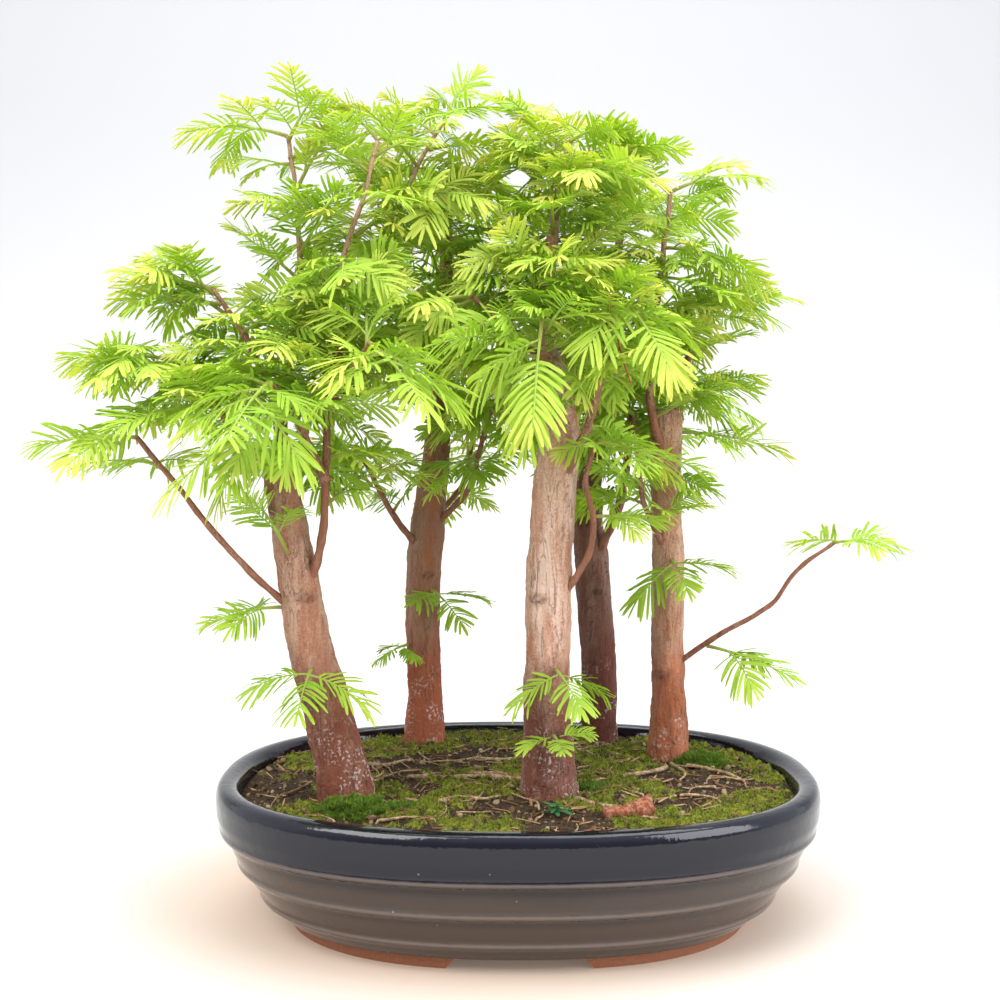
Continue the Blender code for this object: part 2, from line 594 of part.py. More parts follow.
class Blade:
    """A bent frame: a straight form along x is laid along a path that droops from its start."""

    def __init__(self, start, direction, side, length, droop):
        self.start, self.direction, self.side = start, direction, side
        self.length, self.droop = length, droop

    def lay(self, points):
        """Turns points (along, across, up) of the straight form into places on the bent one."""
        points = np.asarray(points, float)
        along = points[:, 0:1]
        fall = self.droop * along ** 2 / self.length
        path = self.start + along * self.direction - fall * (0.0, 0.0, 1.0)
        tangent = self.direction - 2 * self.droop * along / self.length * (0.0, 0.0, 1.0)
        tangent /= np.linalg.norm(tangent, axis=1, keepdims=True)
        normal = np.cross(self.side, tangent)
        normal /= np.linalg.norm(normal, axis=1, keepdims=True)
        return path + points[:, 1:2] * self.side + points[:, 2:3] * normal


def needle_stations(bare, size, pairs):
    """The middle of each pair of needles on a rib that is bare up to there, with its share of the frond."""
    pitch = NEEDLED_LENGTH * size / pairs
    return [(bare + pitch * (i + 0.5), i / (pairs - 1)) for i in range(pairs)]


def needle_tip(station, share, side, size):
    """Where the needle that grows at this station ends. Needles are shorter at the root and the tip."""
    angle = math.radians(NEEDLE_ANGLES[0] + share * (NEEDLE_ANGLES[1] - NEEDLE_ANGLES[0]))
    swell = math.sin(math.pi * (SWELL_FROM + share * SWELL_SPAN))
    reach = size * NEEDLE_LENGTH * (NEEDLE_SHORTEST + NEEDLE_SWELL * swell)
    return np.array((station + reach * math.cos(angle), side * reach * math.sin(angle), -NEEDLE_SAG * reach))


def frond_samples(bare, size, pairs):
    """Points along the rib and the needles of the straight frond, which the clearance rule reads."""
    end = bare + FROND_LENGTH * size
    points = [np.array((along, 0.0, 0.0)) for along in np.arange(bare + RIB_SAMPLE_START, end, RIB_SAMPLE)]
    for station, share in needle_stations(bare, size, pairs):
        for side in (-1, 1):
            root, tip = np.array((station, 0.0, 0.0)), needle_tip(station, share, side, size)
            points += [root + part * (tip - root) for part in NEEDLE_SAMPLES]
    return np.array(points)


def straight_frond(stops, size, pairs, thickness):
    """A three-sided rib, extruded from its foot, the first stop, to each other stop and then by pitches.

    It is bare up to the last stop. The lower sides of each pitch are poked out into a pair of needles. The rib is thickness times as
    stout at its foot, and tapers to its own size where it is no longer bare.
    """
    bare = stops[-1]
    pitch = NEEDLED_LENGTH * size / pairs
    further = list(stops[1:]) + [bare + pitch * (i + 1) for i in range(pairs)]
    shape = bmesh.new()
    foot = bmesh.ops.create_circle(shape, segments=3, radius=1.0, cap_ends=True)
    for vert, (y, z) in zip(foot["verts"], RIB_CORNERS):
        vert.co = (stops[0], y * thickness, z * thickness)
    cap = shape.faces[:]
    last = thickness
    for index, stop in enumerate(further):
        old = list(cap)
        grown = bmesh.ops.extrude_face_region(shape, geom=cap)["geom"]
        if index:
            bmesh.ops.delete(shape, geom=old, context="FACES_ONLY")
        cap = [item for item in grown if isinstance(item, bmesh.types.BMFace)]
        stout = thickness + (1 - thickness) * min(stop / bare, 1.0)
        for vert in cap[0].verts:
            vert.co = (stop, vert.co.y * stout / last, vert.co.z * stout / last)
        last = stout
    for station, share in needle_stations(bare, size, pairs):
        for side in (-1, 1):
            found = [face for face in shape.faces if len(face.verts) == 4
                     and abs(face.calc_center_median().x - station) < pitch / 4
                     and face.calc_center_median().y * side > RIB_HALF_WIDTH / 4]
            poked = bmesh.ops.poke(shape, faces=found)
            poked["verts"][0].co = needle_tip(station, share, side, size)
    poked = bmesh.ops.poke(shape, faces=cap)
    poked["verts"][0].co = (bare + FROND_LENGTH * size, 0, -RIB_END_DROP)
    return shape


def distance_to_wood(points, segments):
    """The least distance from any point to the surface of any piece of wood."""
    starts, spans, radii = segments
    ahead = points[:, None, :] - starts[None, :, :]
    share = (ahead * spans).sum(2) / (spans ** 2).sum(1)
    share = np.clip(share, 0.0, 1.0)
    apart = np.linalg.norm(ahead - share[:, :, None] * spans, axis=2) - radii
    return float(apart.min())


def wood_segments(forest):
    starts, spans, radii = [], [], []
    for routes in forest.values():
        for route in routes.values():
            for low, high in zip(route, route[1:]):
                starts.append(low[:3])
                spans.append(np.array(high[:3]) - np.array(low[:3]))
                radii.append(max(low[3], high[3]))
    return np.array(starts, float), np.array(spans, float), np.array(radii, float)


def spray_start(route, where, direction):
    """Where a shoot starts: its gap away from the skin of the wood that carries it."""
    stout = RIB_BOTTOM * SHOOT_THICKNESS
    if where > 1:
        place = trunk_point(route, where)
        ahead = trunk_point(route, where + 2.0)[:3] - trunk_point(route, where - 2.0)[:3]
    else:
        place = path_point(route, where)
        ahead = path_point(route, where)[:3] - path_point(route, where - 0.05)[:3]
    along = float(np.dot(unit(ahead), direction))
    across = math.sqrt(max(1 - along ** 2, 0.0))
    if where == 1 and along > 0.6:
        return place[:3] + direction * (GAP + stout * across) / along
    return place[:3] + direction * (place[3] + GAP + stout * abs(along)) / max(across, 0.5)


def is_clear(points, mine, others, segments):
    """True if a frond's sample points keep their distance from the wood and from all other fronds."""
    if distance_to_wood(points, segments) < WOOD_CLEARANCE:
        return False
    for taken, least in ((mine, OWN_CLEARANCE), (others, CLEARANCE)):
        if not taken:
            continue
        placed = np.concatenate(taken)
        near = placed[np.abs(placed - points.mean(axis=0)).max(axis=1) < FROND_LENGTH]
        if len(near) and np.linalg.norm(points[:, None] - near[None], axis=2).min() < least:
            return False
    return True


def tilted(direction, turn, lift):
    """The direction turned about the vertical and lifted, both in degrees."""
    around = math.degrees(math.atan2(direction[1], direction[0])) + turn
    rise = math.degrees(math.asin(max(-1.0, min(1.0, float(direction[2]))))) + lift
    return heading(around, rise)


def place_spray(spray, route, others, segments, chance):
    """The blades of one spray with the stops, size and needle pairs of each, and their sample points.

    The first blade is the shoot with the frond at its end. A side frond that finds no clear place at
    any of the tries is left out.
    """
    _, where, azimuth, rise, length, pairs, roll, scale = spray
    direction = heading(azimuth, rise)
    start = spray_start(route, where, direction)
    size = scale * chance.uniform(*SHOOT_SIZES)
    total = length + FROND_LENGTH * size
    droop = FROND_DROOP * chance.uniform(*SHOOT_DROOPS)
    first = min(FIRST_PAIR, length * FIRST_PAIR_SHARE)
    for turn, lift, twist in TRIES:
        aim = tilted(direction, turn, lift)
        shoot = Blade(start, aim, side_of(aim, roll + twist), total, droop)
        points = shoot.lay(frond_samples(length, size, END_PAIRS))
        if is_clear(points, [], others, segments):
            break
    placed = [(shoot, [0.0, first, length], size, END_PAIRS)]
    mine = [points]
    for index in range(pairs):
        along = first + (length - first) * index / pairs
        for sign in (-1, 1):
            wide = TUFT_ANGLE if length < TUFT_LENGTH else PAIR_ANGLE
            angle = sign * (wide + chance.uniform(-ANGLE_CHANCE, ANGLE_CHANCE))
            size = scale * chance.uniform(*SIDE_SIZES) * (1 - PAIR_SHRINK * index)
            lean = roll * ROLL_SHARE + chance.uniform(-ROLL_CHANCE, ROLL_CHANCE)
            droop = FROND_DROOP * chance.uniform(*SIDE_DROOPS)
            root = shoot.lay([(along + sign * PAIR_STAGGER, 0, 0)])[0]
            reach = ROOT_LENGTH + FROND_LENGTH * size
            for turn, lift, twist in TRIES:
                aim = tilted(shoot.direction, angle + sign * turn, lift)
                blade = Blade(root + aim * SIDE_START, aim, side_of(aim, lean + twist), reach, droop)
                points = blade.lay(frond_samples(ROOT_LENGTH, size, SIDE_PAIRS))
                if is_clear(points, mine, others, segments):
                    placed.append((blade, [0.0, ROOT_LENGTH], size, SIDE_PAIRS))
                    mine.append(points)
                    break
    return placed, mine


def seat_on_bark(blade, bark):
    """How far behind its start a shoot's foot lies when it is the gap away from the bark."""
    right, left, low = [np.array(corner) * SHOOT_THICKNESS for corner in RIB_CORNERS]
    face = [right + (left - right) * i / SEAT_PARTS + (low - right) * j / SEAT_PARTS
            for i in range(SEAT_PARTS + 1) for j in range(SEAT_PARTS + 1 - i)]
    steps = 0
    while steps < MOST_SEAT_STEPS:
        back = (steps + 1) * SEAT_STEP
        places = blade.lay([(ahead - back, y, z) for ahead in SEAT_SLICES for y, z in face])
        if min(bark.find_nearest(Vector(place * MM))[3] for place in places) < GAP * MM:
            break
        steps += 1
    return steps * SEAT_STEP


def bent_frond(blade, stops, size, pairs, thickness, name, collection):
    shape = straight_frond(stops, size, pairs, thickness)
    places = blade.lay([tuple(vert.co) for vert in shape.verts])
    for vert, place in zip(shape.verts, places):
        vert.co = place
    bmesh.ops.triangulate(shape, faces=shape.faces)
    return object_from_bmesh(shape, name, collection)


def make_foliage(forest, trees, collection, cutters):
    """The sprays of all trees. trees holds each tree's object, on whose bark its shoots are seated."""
    graph = bpy.context.evaluated_depsgraph_get()
    segments = wood_segments(forest)
    chance = random.Random(SEED)
    taken = []
    made = []
    for tree, sprays in SPRAYS.items():
        bark = BVHTree.FromObject(trees[tree], graph)
        for number, spray in enumerate(sprays, 1):
            blades, mine = place_spray(spray, forest[tree][spray[0]], taken, segments, chance)
            taken += mine
            shoot_blade, shoot_stops = blades[0][:2]
            shoot_stops[0] = -seat_on_bark(shoot_blade, bark)
            name = f"spray_{tree}_{number:02d}"
            shoot = bent_frond(*blades[0], SHOOT_THICKNESS, name, collection)
            fronds = [bent_frond(*blade, 1.0, "frond", cutters) for blade in blades[1:]]
            if fronds:
                boolean(shoot, fronds, "UNION", "MANIFOLD")
            made.append(shoot)
    return made


def main():
    clear_scene()
    collection = new_collection(NAME)
    cutters = new_collection("cutters")
    forest = {tree: wood_of(tree) for tree in TRUNKS}

    finishes = []
    finishes.append((make_tray(collection, cutters), (0.012, 0.014, 0.03), 0.15))
    for side in (-1, 1):
        finishes.append((make_screen(side, collection, cutters), (0.02, 0.02, 0.02), 0.6))
    soil = make_soil(collection, cutters)
    finishes.append((soil, (0.07, 0.045, 0.025), 0.95))
    for index in range(len(MOSS)):
        finishes.append((make_moss(index, soil, collection, cutters), (0.12, 0.2, 0.02), 0.9))
    finishes.append((make_root_stub(soil, collection, cutters), (0.25, 0.09, 0.05), 0.8))
    trees = {tree: make_tree(tree, routes, collection, cutters) for tree, routes in forest.items()}
    finishes += [(item, BARK[tree], 0.85) for tree, item in trees.items()]
    for spray in make_foliage(forest, trees, collection, cutters):
        finishes.append((spray, (0.3, 0.5, 0.05), 0.5))

    for item, colour, roughness in finishes:
        item.data.materials.clear()
        item.data.materials.append(material(item.name, colour, roughness))

    bpy.context.view_layer.update()
    corners = np.array([item.matrix_world @ vert.co for item, _, _ in finishes for vert in item.data.vertices])
    low, high = corners.min(axis=0), corners.max(axis=0)
    base = bpy.data.objects.new("forest_base", None)
    collection.objects.link(base)
    for item, _, _ in finishes:
        item.parent = base
    base.location = (-(low[0] + high[0]) / 2, -(low[1] + high[1]) / 2, -low[2])


main()
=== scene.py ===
"""Dawn redwood bonsai forest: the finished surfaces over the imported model.

The tables and the shape functions work in millimetres, from a zero on the floor under the tray's
centre, as the construction does: +X is right, +Y is back and +Z is up. A mesh becomes metres, in the
part's own frame, where it is finished.
"""

import math
import random

import bmesh
import bpy
import numpy as np
from bpy.props import FloatProperty, FloatVectorProperty, IntProperty, PointerProperty
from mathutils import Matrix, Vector, noise


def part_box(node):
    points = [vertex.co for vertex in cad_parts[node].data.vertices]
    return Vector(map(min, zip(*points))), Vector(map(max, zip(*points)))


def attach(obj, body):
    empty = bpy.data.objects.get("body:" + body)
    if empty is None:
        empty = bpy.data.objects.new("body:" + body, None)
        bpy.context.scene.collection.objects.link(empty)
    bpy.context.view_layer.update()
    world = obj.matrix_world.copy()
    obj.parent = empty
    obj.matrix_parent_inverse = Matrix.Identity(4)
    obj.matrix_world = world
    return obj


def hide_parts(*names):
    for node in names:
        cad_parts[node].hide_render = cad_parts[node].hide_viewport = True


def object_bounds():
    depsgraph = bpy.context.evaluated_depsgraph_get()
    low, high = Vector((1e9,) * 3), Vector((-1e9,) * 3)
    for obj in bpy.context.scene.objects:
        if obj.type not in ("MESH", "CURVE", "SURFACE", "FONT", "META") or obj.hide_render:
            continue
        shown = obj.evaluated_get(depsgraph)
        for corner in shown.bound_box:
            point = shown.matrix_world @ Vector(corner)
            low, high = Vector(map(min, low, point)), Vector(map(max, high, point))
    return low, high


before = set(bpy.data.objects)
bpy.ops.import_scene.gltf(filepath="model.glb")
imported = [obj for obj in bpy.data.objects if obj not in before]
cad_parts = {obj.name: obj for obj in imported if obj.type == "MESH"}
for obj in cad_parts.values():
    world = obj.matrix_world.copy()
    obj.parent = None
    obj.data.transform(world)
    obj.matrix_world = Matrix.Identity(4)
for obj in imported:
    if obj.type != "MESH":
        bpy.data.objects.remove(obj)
CAD_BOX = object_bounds()

bl_info = {
    "name": "Dawn Redwood Forest",
    "version": (1, 0, 0),
    "blender": (4, 5, 0),
    "location": "View3D > Sidebar > Forest",
    "description": "Builds a bonsai forest of dawn redwoods in an oval glazed tray",
    "category": "Add Mesh",
}

MM = 0.001
CENTRE = np.array([(low + high) / 2 for low, high in zip(*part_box("tray"))])[:2]
ROOM = [(np.array(corner) / MM - (*CENTRE / MM, 0.0)) for corner in CAD_BOX]

# Camera, from the tray's centre
CAMERA_PLACE = (-7.2, -559.0, 195.0)
CAMERA_DIP = 2.76              # degrees below level
CAMERA_LENS, CAMERA_SENSOR = 48.78, 36.0

# Tray
OVAL_POWER = 2.35              # 2 is an ellipse, and more is squarer
LIP_HALF = (123.0, 96.0)       # half length and half depth at the widest line of the lip
BASE_HALF = (97.5, 78.0)
FOOT_HEIGHT = 5.5
FLOOR_TOP = 11.5
FLOOR_HALF = (90.0, 70.5)
FLOOR_CURVE = (4.0, 18.0)      # how far out and how high the floor has curved up there
INNER_WALL_LOW, INNER_WALL_HIGH = 42.0, 53.0
INNER_INSETS = (11.5, 9.5)     # of the inner wall from the lip outline, at those two heights
INNER_STEPS = (30.0, 18.0, 14.0)   # heights of its rings, down to the floor
FLOOR_MIDDLE = 0.6             # share of the floor inside its outermost band
FOOT_RING_INSET = 2.5
FOOT_RING_WIDTH = 16.0
FOOT_TAPER = 1.5
FOOT_ROOT = 1.5
MIDDLE_CUT = (-1.0, 9.0)
FRONT_CHANNEL_WIDTH = 46.0
SIDE_CHANNEL_WIDTH = 34.0
CHANNEL_SLOPE = (5.0, -2.5)
CHANNEL_HEIGHTS = (-1.0, 8.5)
CHANNEL_REACH = 150.0
DRAIN_RADIUS = 7.0
DRAIN_X = 45.0
DRAIN_CUT = 46.0
DRAIN_SIDES = 32
SHARP_ANGLE = 38.0             # in degrees, past which an edge of the tray is drawn sharp
# The outer wall as (height, flare): flare 0 is the base outline and 1 is the lip outline.
WALL = [
    (5.5, 0.02), (8.0, 0.14), (11.4, 0.285), (12.6, 0.295), (23.4, 0.595), (25.4, 0.65),
    (36.6, 0.86), (38.6, 0.92), (44.0, 0.985), (50.0, 1.0),
]
WALL_STEP = 0.6
RIDGES = (12.0, 24.6, 37.6)    # heights of the thrown ridges round the wall
RIDGE_STAND = 1.1
RIDGE_WIDTH = 1.5
# The rim as (inset from the lip outline, height), over the top and down inside.
RIM = [(0.0, 50.0), (0.3, 52.6), (0.9, 54.4), (1.8, 55.5), (3.0, 56.0), (5.2, 56.1), (7.2, 55.7),
       (8.6, 54.6), (9.5, 53.0), (10.4, 49.0), (11.5, 42.0)]

# Soil
SOIL_BOTTOM = 13.4
SOIL_EDGE = 49.6
SOIL_MOUND = 4.2
SOIL_MOUND_POWER = 2.5
SOIL_SLOPE = 0.02
SOIL_WAVE = 0.7
SOIL_WAVES = (17.0, 13.0)
SOIL_GRID = (220, 170)
SOIL_INSET = 0.15              # from the tray's inner wall
# Noise on the soil, in layers of (breadth, drift, share)
MOSS_LAYERS = [(24.0, 3.7, 1.0), (7.0, 8.1, 0.45)]
LUMP_LAYERS = [(3.6, 1.3, 1.0), (1.7, 5.0, 0.5)]
CRUMB_LAYERS = [(2.1, 9.0, 1.0), (0.9, 2.0, 0.6)]
MOSS_CONTRAST = 2.6
MOSS_BIAS = 0.09               # more gives more moss
MOSS_RISE = 2.4
CRUMB_RISE = 0.9
TUFT_HEIGHTS, TUFT_WIDTHS = (0.8, 2.1), (0.45, 0.8)
LEAF_HEIGHTS, LEAF_WIDTHS = (0.9, 2.0), (0.55, 1.0)
CUSHION_LEAVES, LOW_CUSHION_LEAVES = 2200, 350
LITTER_PIECES = 620
LITTER_LENGTHS, LITTER_WIDTHS = (2.5, 10.0), (0.4, 1.2)
WEED_LEAVES = 11
WEED_LENGTHS = (4.0, 7.5)
CUSHIONS = [(-64, -46, 15, 11, 6.5, "moss_cushion_1"), (80, 24, 14, 11, 6.0, "moss_cushion_2")]
LOW_CUSHIONS = [(28, -22, 9, 8, 4.0), (-75, -20, 8, 8, 3.0), (-46, -44, 8, 6, 3.0)]
ROOT_STUB = [(32, -57, 2.6), (42, -54, 3.4), (50, -50, 4.6)]
ROOT_STUB_RISE = 0.6
# Bare roots and twigs on the soil, as (x, y) routes with their thickness at each end
SURFACE_ROOTS = [
    ([(-46, -8), (-30, -12), (-14, -9), (2, -14), (14, -19)], 0.9, 1.6),
    ([(-38, -4), (-24, -5), (-12, -3), (-4, -5)], 0.5, 0.8),
    ([(-32, -42), (-22, -36), (-14, -38), (-6, -34)], 0.8, 0.5),
    ([(-54, -60), (-42, -57), (-30, -60)], 0.6, 0.4),
    ([(22, -38), (30, -46), (42, -49), (52, -46)], 1.3, 0.7),
    ([(30, -14), (44, -6), (58, 2), (64, 12)], 0.6, 1.1),
    ([(72, 16), (84, 8), (92, -2), (94, -12)], 0.9, 0.4),
    ([(66, 18), (70, 2), (66, -12)], 0.8, 0.4),
    ([(58, -34), (70, -30), (80, -34)], 0.6, 0.5),
    ([(-80, 2), (-70, 12), (-56, 14), (-44, 22)], 0.5, 0.7),
    ([(-20, 22), (-4, 18), (10, 26), (22, 24)], 0.6, 0.5),
    ([(40, 34), (50, 24), (54, 12)], 0.8, 0.4),
]
ROOTLETS = 70                  # thin ones, strewn by chance
ROOTLET_LENGTHS, ROOTLET_RADII = (4, 11), (0.25, 0.6)
ROOT_WANDER = 1.1
ROOT_DIVE = 2.2                # how deep the ends of a root go
WEED = (14.0, -55.0)

# Wood: each trunk runs up from its buried end, as (x, y, z, radius).
TRUNKS = {
    "left": [
        (-66, -30, 28, 12.0), (-67, -31, 52, 11.0), (-71, -31, 71, 9.8), (-77, -32, 95, 9.0),
        (-82, -33, 115, 8.3), (-85, -34, 135, 7.9), (-88, -34, 154, 7.2), (-91, -34, 172, 6.2),
        (-93, -34, 184, 5.6), (-92, -33, 189, 2.9), (-93, -31, 208, 2.4),
    ],
    "back_left": [
        (-42, 61, 29, 9.8), (-42, 61, 54, 9.0), (-42, 61, 82, 7.9), (-43, 61, 110, 7.8),
        (-42, 61, 138, 7.9), (-39, 62, 165, 7.2), (-36, 62, 188, 6.0), (-35, 61, 211, 4.8),
        (-34, 61, 234, 4.1), (-32, 60, 256, 3.4), (-31, 54, 288, 2.4), (-29, 46, 312, 1.4),
    ],
    "front": [
        (13, -27, 28, 12.2), (13, -27, 53, 11.2), (12, -28, 74, 10.0), (11, -28, 94, 9.1),
        (12, -28, 114, 8.8), (12, -28, 134, 9.0), (13, -28, 154, 8.6), (14, -27, 173, 8.4),
        (16, -26, 193, 8.2), (14, -25, 209, 7.0), (12, -23, 228, 5.0), (12, -20, 256, 2.9),
        (16, -10, 290, 1.9), (21, 0, 314, 1.2),
    ],
    "back_centre": [
        (39, 66, 30, 9.4), (39, 66, 56, 8.8), (39, 65, 77, 7.9), (38, 65, 100, 8.1),
        (36, 66, 123, 7.8), (35, 67, 142, 7.4), (33, 68, 160, 6.9), (34, 69, 179, 6.0),
        (37, 70, 200, 4.8), (41, 70, 228, 3.8), (45, 67, 262, 2.6), (48, 64, 290, 1.5),
    ],
    "right": [
        (67, 31, 29, 9.8), (67, 31, 54, 9.0), (67, 30, 79, 7.5), (66, 30, 101, 7.0),
        (66, 30, 123, 7.0), (66, 30, 145, 6.6), (65, 30, 167, 6.5), (65, 30, 188, 6.5),
        (65, 30, 206, 6.8),
    ],
}

# Limbs, by tree: name, what it grows from, the height or share of length there, the points that it
# passes through, and its radius at its start and its tip.
LIMBS = {
    "left": [
        ("lower_twig", "trunk", 122, [(-109, -42, 149), (-128, -47, 174), (-143, -52, 194)], 1.8, 1.1),
        ("right_riser", "trunk", 130, [(-76, -40, 152), (-74, -39, 181), (-73, -36, 210),
                                       (-68, -30, 238)], 2.3, 1.5),
        ("right_leader", "right_riser", 0.97, [(-57, -13, 266), (-42, 3, 303), (-29, 12, 328)], 1.5, 1.0),
        ("middle_leader", "right_riser", 0.9, [(-68, -34, 260), (-60, -28, 288), (-55, -22, 310)], 1.4, 1.0),
        ("pale_leader", "trunk", 206, [(-88, -28, 228), (-86, -22, 252), (-88, -15, 288),
                                       (-92, -12, 314)], 1.8, 1.1),
        ("left_limb", "trunk", 178, [(-108, -42, 196), (-122, -40, 214), (-134, -38, 224)], 2.1, 1.2),
        ("upper_left", "trunk", 205, [(-106, -28, 232), (-120, -22, 252)], 1.9, 1.2),
        ("back_limb", "trunk", 190, [(-100, -8, 210), (-106, 18, 226)], 1.9, 1.2),
        ("front_limb", "right_riser", 0.45, [(-82, -58, 200), (-90, -70, 214)], 1.8, 1.2),
        ("front_right", "right_riser", 0.7, [(-62, -58, 218), (-54, -72, 228)], 1.6, 1.1),
    ],
    "back_left": [
        ("left_limb", "trunk", 140, [(-54, 50, 157), (-63, 42, 175), (-70, 34, 190)], 2.1, 1.2),
        ("front_limb", "trunk", 150, [(-22, 51, 170), (-15, 45, 193), (-8, 38, 214)], 2.0, 1.2),
        ("back_limb", "trunk", 154, [(-26, 76, 170), (-20, 84, 190)], 2.0, 1.2),
        ("upper_left", "trunk", 222, [(-54, 70, 242), (-66, 76, 256)], 1.8, 1.2),
        ("upper_back", "trunk", 250, [(-33, 74, 262), (-36, 84, 270)], 1.6, 1.1),
    ],
    "front": [
        ("right_limb", "trunk", 170, [(27, -40, 200), (33, -43, 227), (36, -45, 248)], 2.4, 1.3),
        ("sinuous_limb", "trunk", 124, [(26, -35, 146), (29, -35, 162), (26, -33, 177),
                                        (30, -34, 192)], 1.8, 1.2),
        ("front_limb", "trunk", 208, [(9, -46, 226), (8, -62, 236)], 2.0, 1.2),
        ("left_limb", "trunk", 222, [(-6, -32, 238), (-18, -38, 248)], 1.9, 1.2),
    ],
    "back_centre": [
        ("second_stem", "trunk", 134, [(46, 55, 161), (50, 50, 184), (52, 46, 204)], 3.2, 1.6),
        ("back_limb", "trunk", 196, [(42, 82, 214), (46, 90, 228)], 2.0, 1.2),
        ("right_limb", "trunk", 188, [(58, 82, 204), (74, 88, 216)], 2.0, 1.2),
    ],
    "right": [
        ("lone_limb", "trunk", 92, [(84, 21, 107), (108, 14, 123), (117, 10, 137), (132, 5, 150)], 1.6, 1.0),
        ("left_limb", "trunk", 142, [(54, 15, 166), (50, 8, 188)], 1.8, 1.1),
        ("riser", "trunk", 182, [(58, 19, 201), (56, 15, 219), (58, 12, 244), (61, 10, 272),
                                 (64, 10, 296)], 2.6, 1.2),
        ("top_limb", "trunk", 199, [(75, 34, 228), (82, 36, 252)], 2.3, 1.2),
    ],
}

# Sprays, by tree: the limb, the height or share of its length there, then the shoot's azimuth
# (0 right, 90 back), its rise in degrees, its bare length, its pairs of fronds, its roll in degrees
# and the size of its fronds.
SPRAYS = {
    "left": [
        ("lower_twig", 1, 192, 4, 13, 1, 28, 1.0), ("lower_twig", 0.84, 128, 12, 20, 1, -20, 1.0),
        ("left_limb", 1, 184, 8, 15, 2, 26, 1.0), ("left_limb", 0.6, 232, -12, 22, 2, -20, 1.0),
        ("upper_left", 1, 172, 14, 18, 2, 25, 1.0), ("upper_left", 0.7, 110, 18, 24, 2, -10, 1.0),
        ("pale_leader", 1, 186, 16, 18, 2, 25, 1.0), ("pale_leader", 0.92, 350, 10, 15, 1, 30, 1.0),
        ("pale_leader", 0.6, 60, 10, 24, 2, 0, 1.0), ("back_limb", 1, 128, 6, 22, 2, 10, 1.0),
        ("front_limb", 1, 262, -16, 24, 2, 15, 1.1), ("front_limb", 0.7, 205, -6, 24, 2, -25, 1.0),
        ("front_right", 1, 300, -20, 24, 2, -15, 1.1),
        ("right_leader", 1, 70, 50, 12, 1, 20, 0.8), ("right_leader", 0.6, 320, 8, 24, 2, 25, 1.0),
        ("trunk", 106, 268, -10, 9, 1, 10, 0.95), ("trunk", 140, 250, 50, 24, 1, 60, 0.9),
        ("trunk", 128, 186, 0, 12, 1, -20, 0.8),
    ],
    "back_left": [
        ("left_limb", 1, 206, 0, 22, 2, 20, 1.0), ("front_limb", 1, 280, -6, 24, 2, -20, 1.0),
        ("back_limb", 1, 76, 0, 22, 2, 10, 1.0), ("upper_left", 1, 158, 8, 24, 2, 15, 1.0),
        ("upper_back", 1, 98, 12, 22, 2, -10, 1.0), ("trunk", 309, 168, 20, 22, 2, 20, 1.0),
        ("trunk", 282, 318, 10, 24, 2, -15, 1.0),
        ("trunk", 126, 300, -10, 12, 1, 15, 0.8), ("trunk", 100, 220, -4, 8, 1, 10, 0.5),
    ],
    "front": [
        ("right_limb", 1, 292, -22, 24, 2, 10, 1.1), ("sinuous_limb", 1, 338, -6, 22, 1, -20, 1.0),
        ("front_limb", 1, 262, -48, 16, 2, 5, 1.15), ("front_limb", 0.7, 214, -12, 22, 2, 20, 1.05),
        ("left_limb", 1, 196, -4, 24, 2, -20, 1.0),
        ("trunk", 310, 96, 30, 20, 2, 10, 1.0), ("trunk", 292, 326, 10, 24, 2, 20, 1.0),
        ("trunk", 106, 290, -14, 8, 1, 5, 0.75), ("trunk", 78, 280, 2, 7, 1, 0, 0.5),
    ],
    "back_centre": [
        ("trunk", 287, 36, 16, 22, 2, 15, 1.0), ("trunk", 262, 140, 10, 24, 2, -15, 1.0),
        ("back_limb", 1, 84, 4, 22, 2, 0, 1.0), ("right_limb", 1, 18, 0, 22, 2, 20, 1.0),
        ("second_stem", 1, 262, -4, 20, 1, 20, 1.0),
    ],
    "right": [
        ("lone_limb", 1, 296, 10, 8, 1, 20, 0.9), ("lone_limb", 0.22, 340, -10, 16, 1, 15, 0.9),
        ("riser", 1, 14, 25, 20, 2, 20, 1.0), ("riser", 0.7, 296, -6, 24, 2, -15, 1.05),
        ("top_limb", 1, 2, 12, 16, 2, 20, 1.0), ("trunk", 196, 350, 0, 20, 1, -25, 1.0),
        ("trunk", 142, 276, -8, 10, 1, 10, 0.9),
    ],
}
# Dry twigs that hang under the crown of the front tree, as points with their radius.
DRY_TWIGS = [
    [(36.0, -45.6, 247, 0.7), (33.7, -48, 243, 0.6), (32.7, -49, 234, 0.55), (31.8, -49, 226, 0.5),
     (32.7, -49, 218, 0.3)],
    [(35.4, -45.0, 243, 0.6), (36.8, -48, 233, 0.5), (39.0, -49, 223, 0.45), (42.2, -50, 213, 0.25)],
    [(35.8, -45.4, 248, 0.6), (40.5, -48, 244, 0.5), (44.7, -50, 238, 0.3)],
]
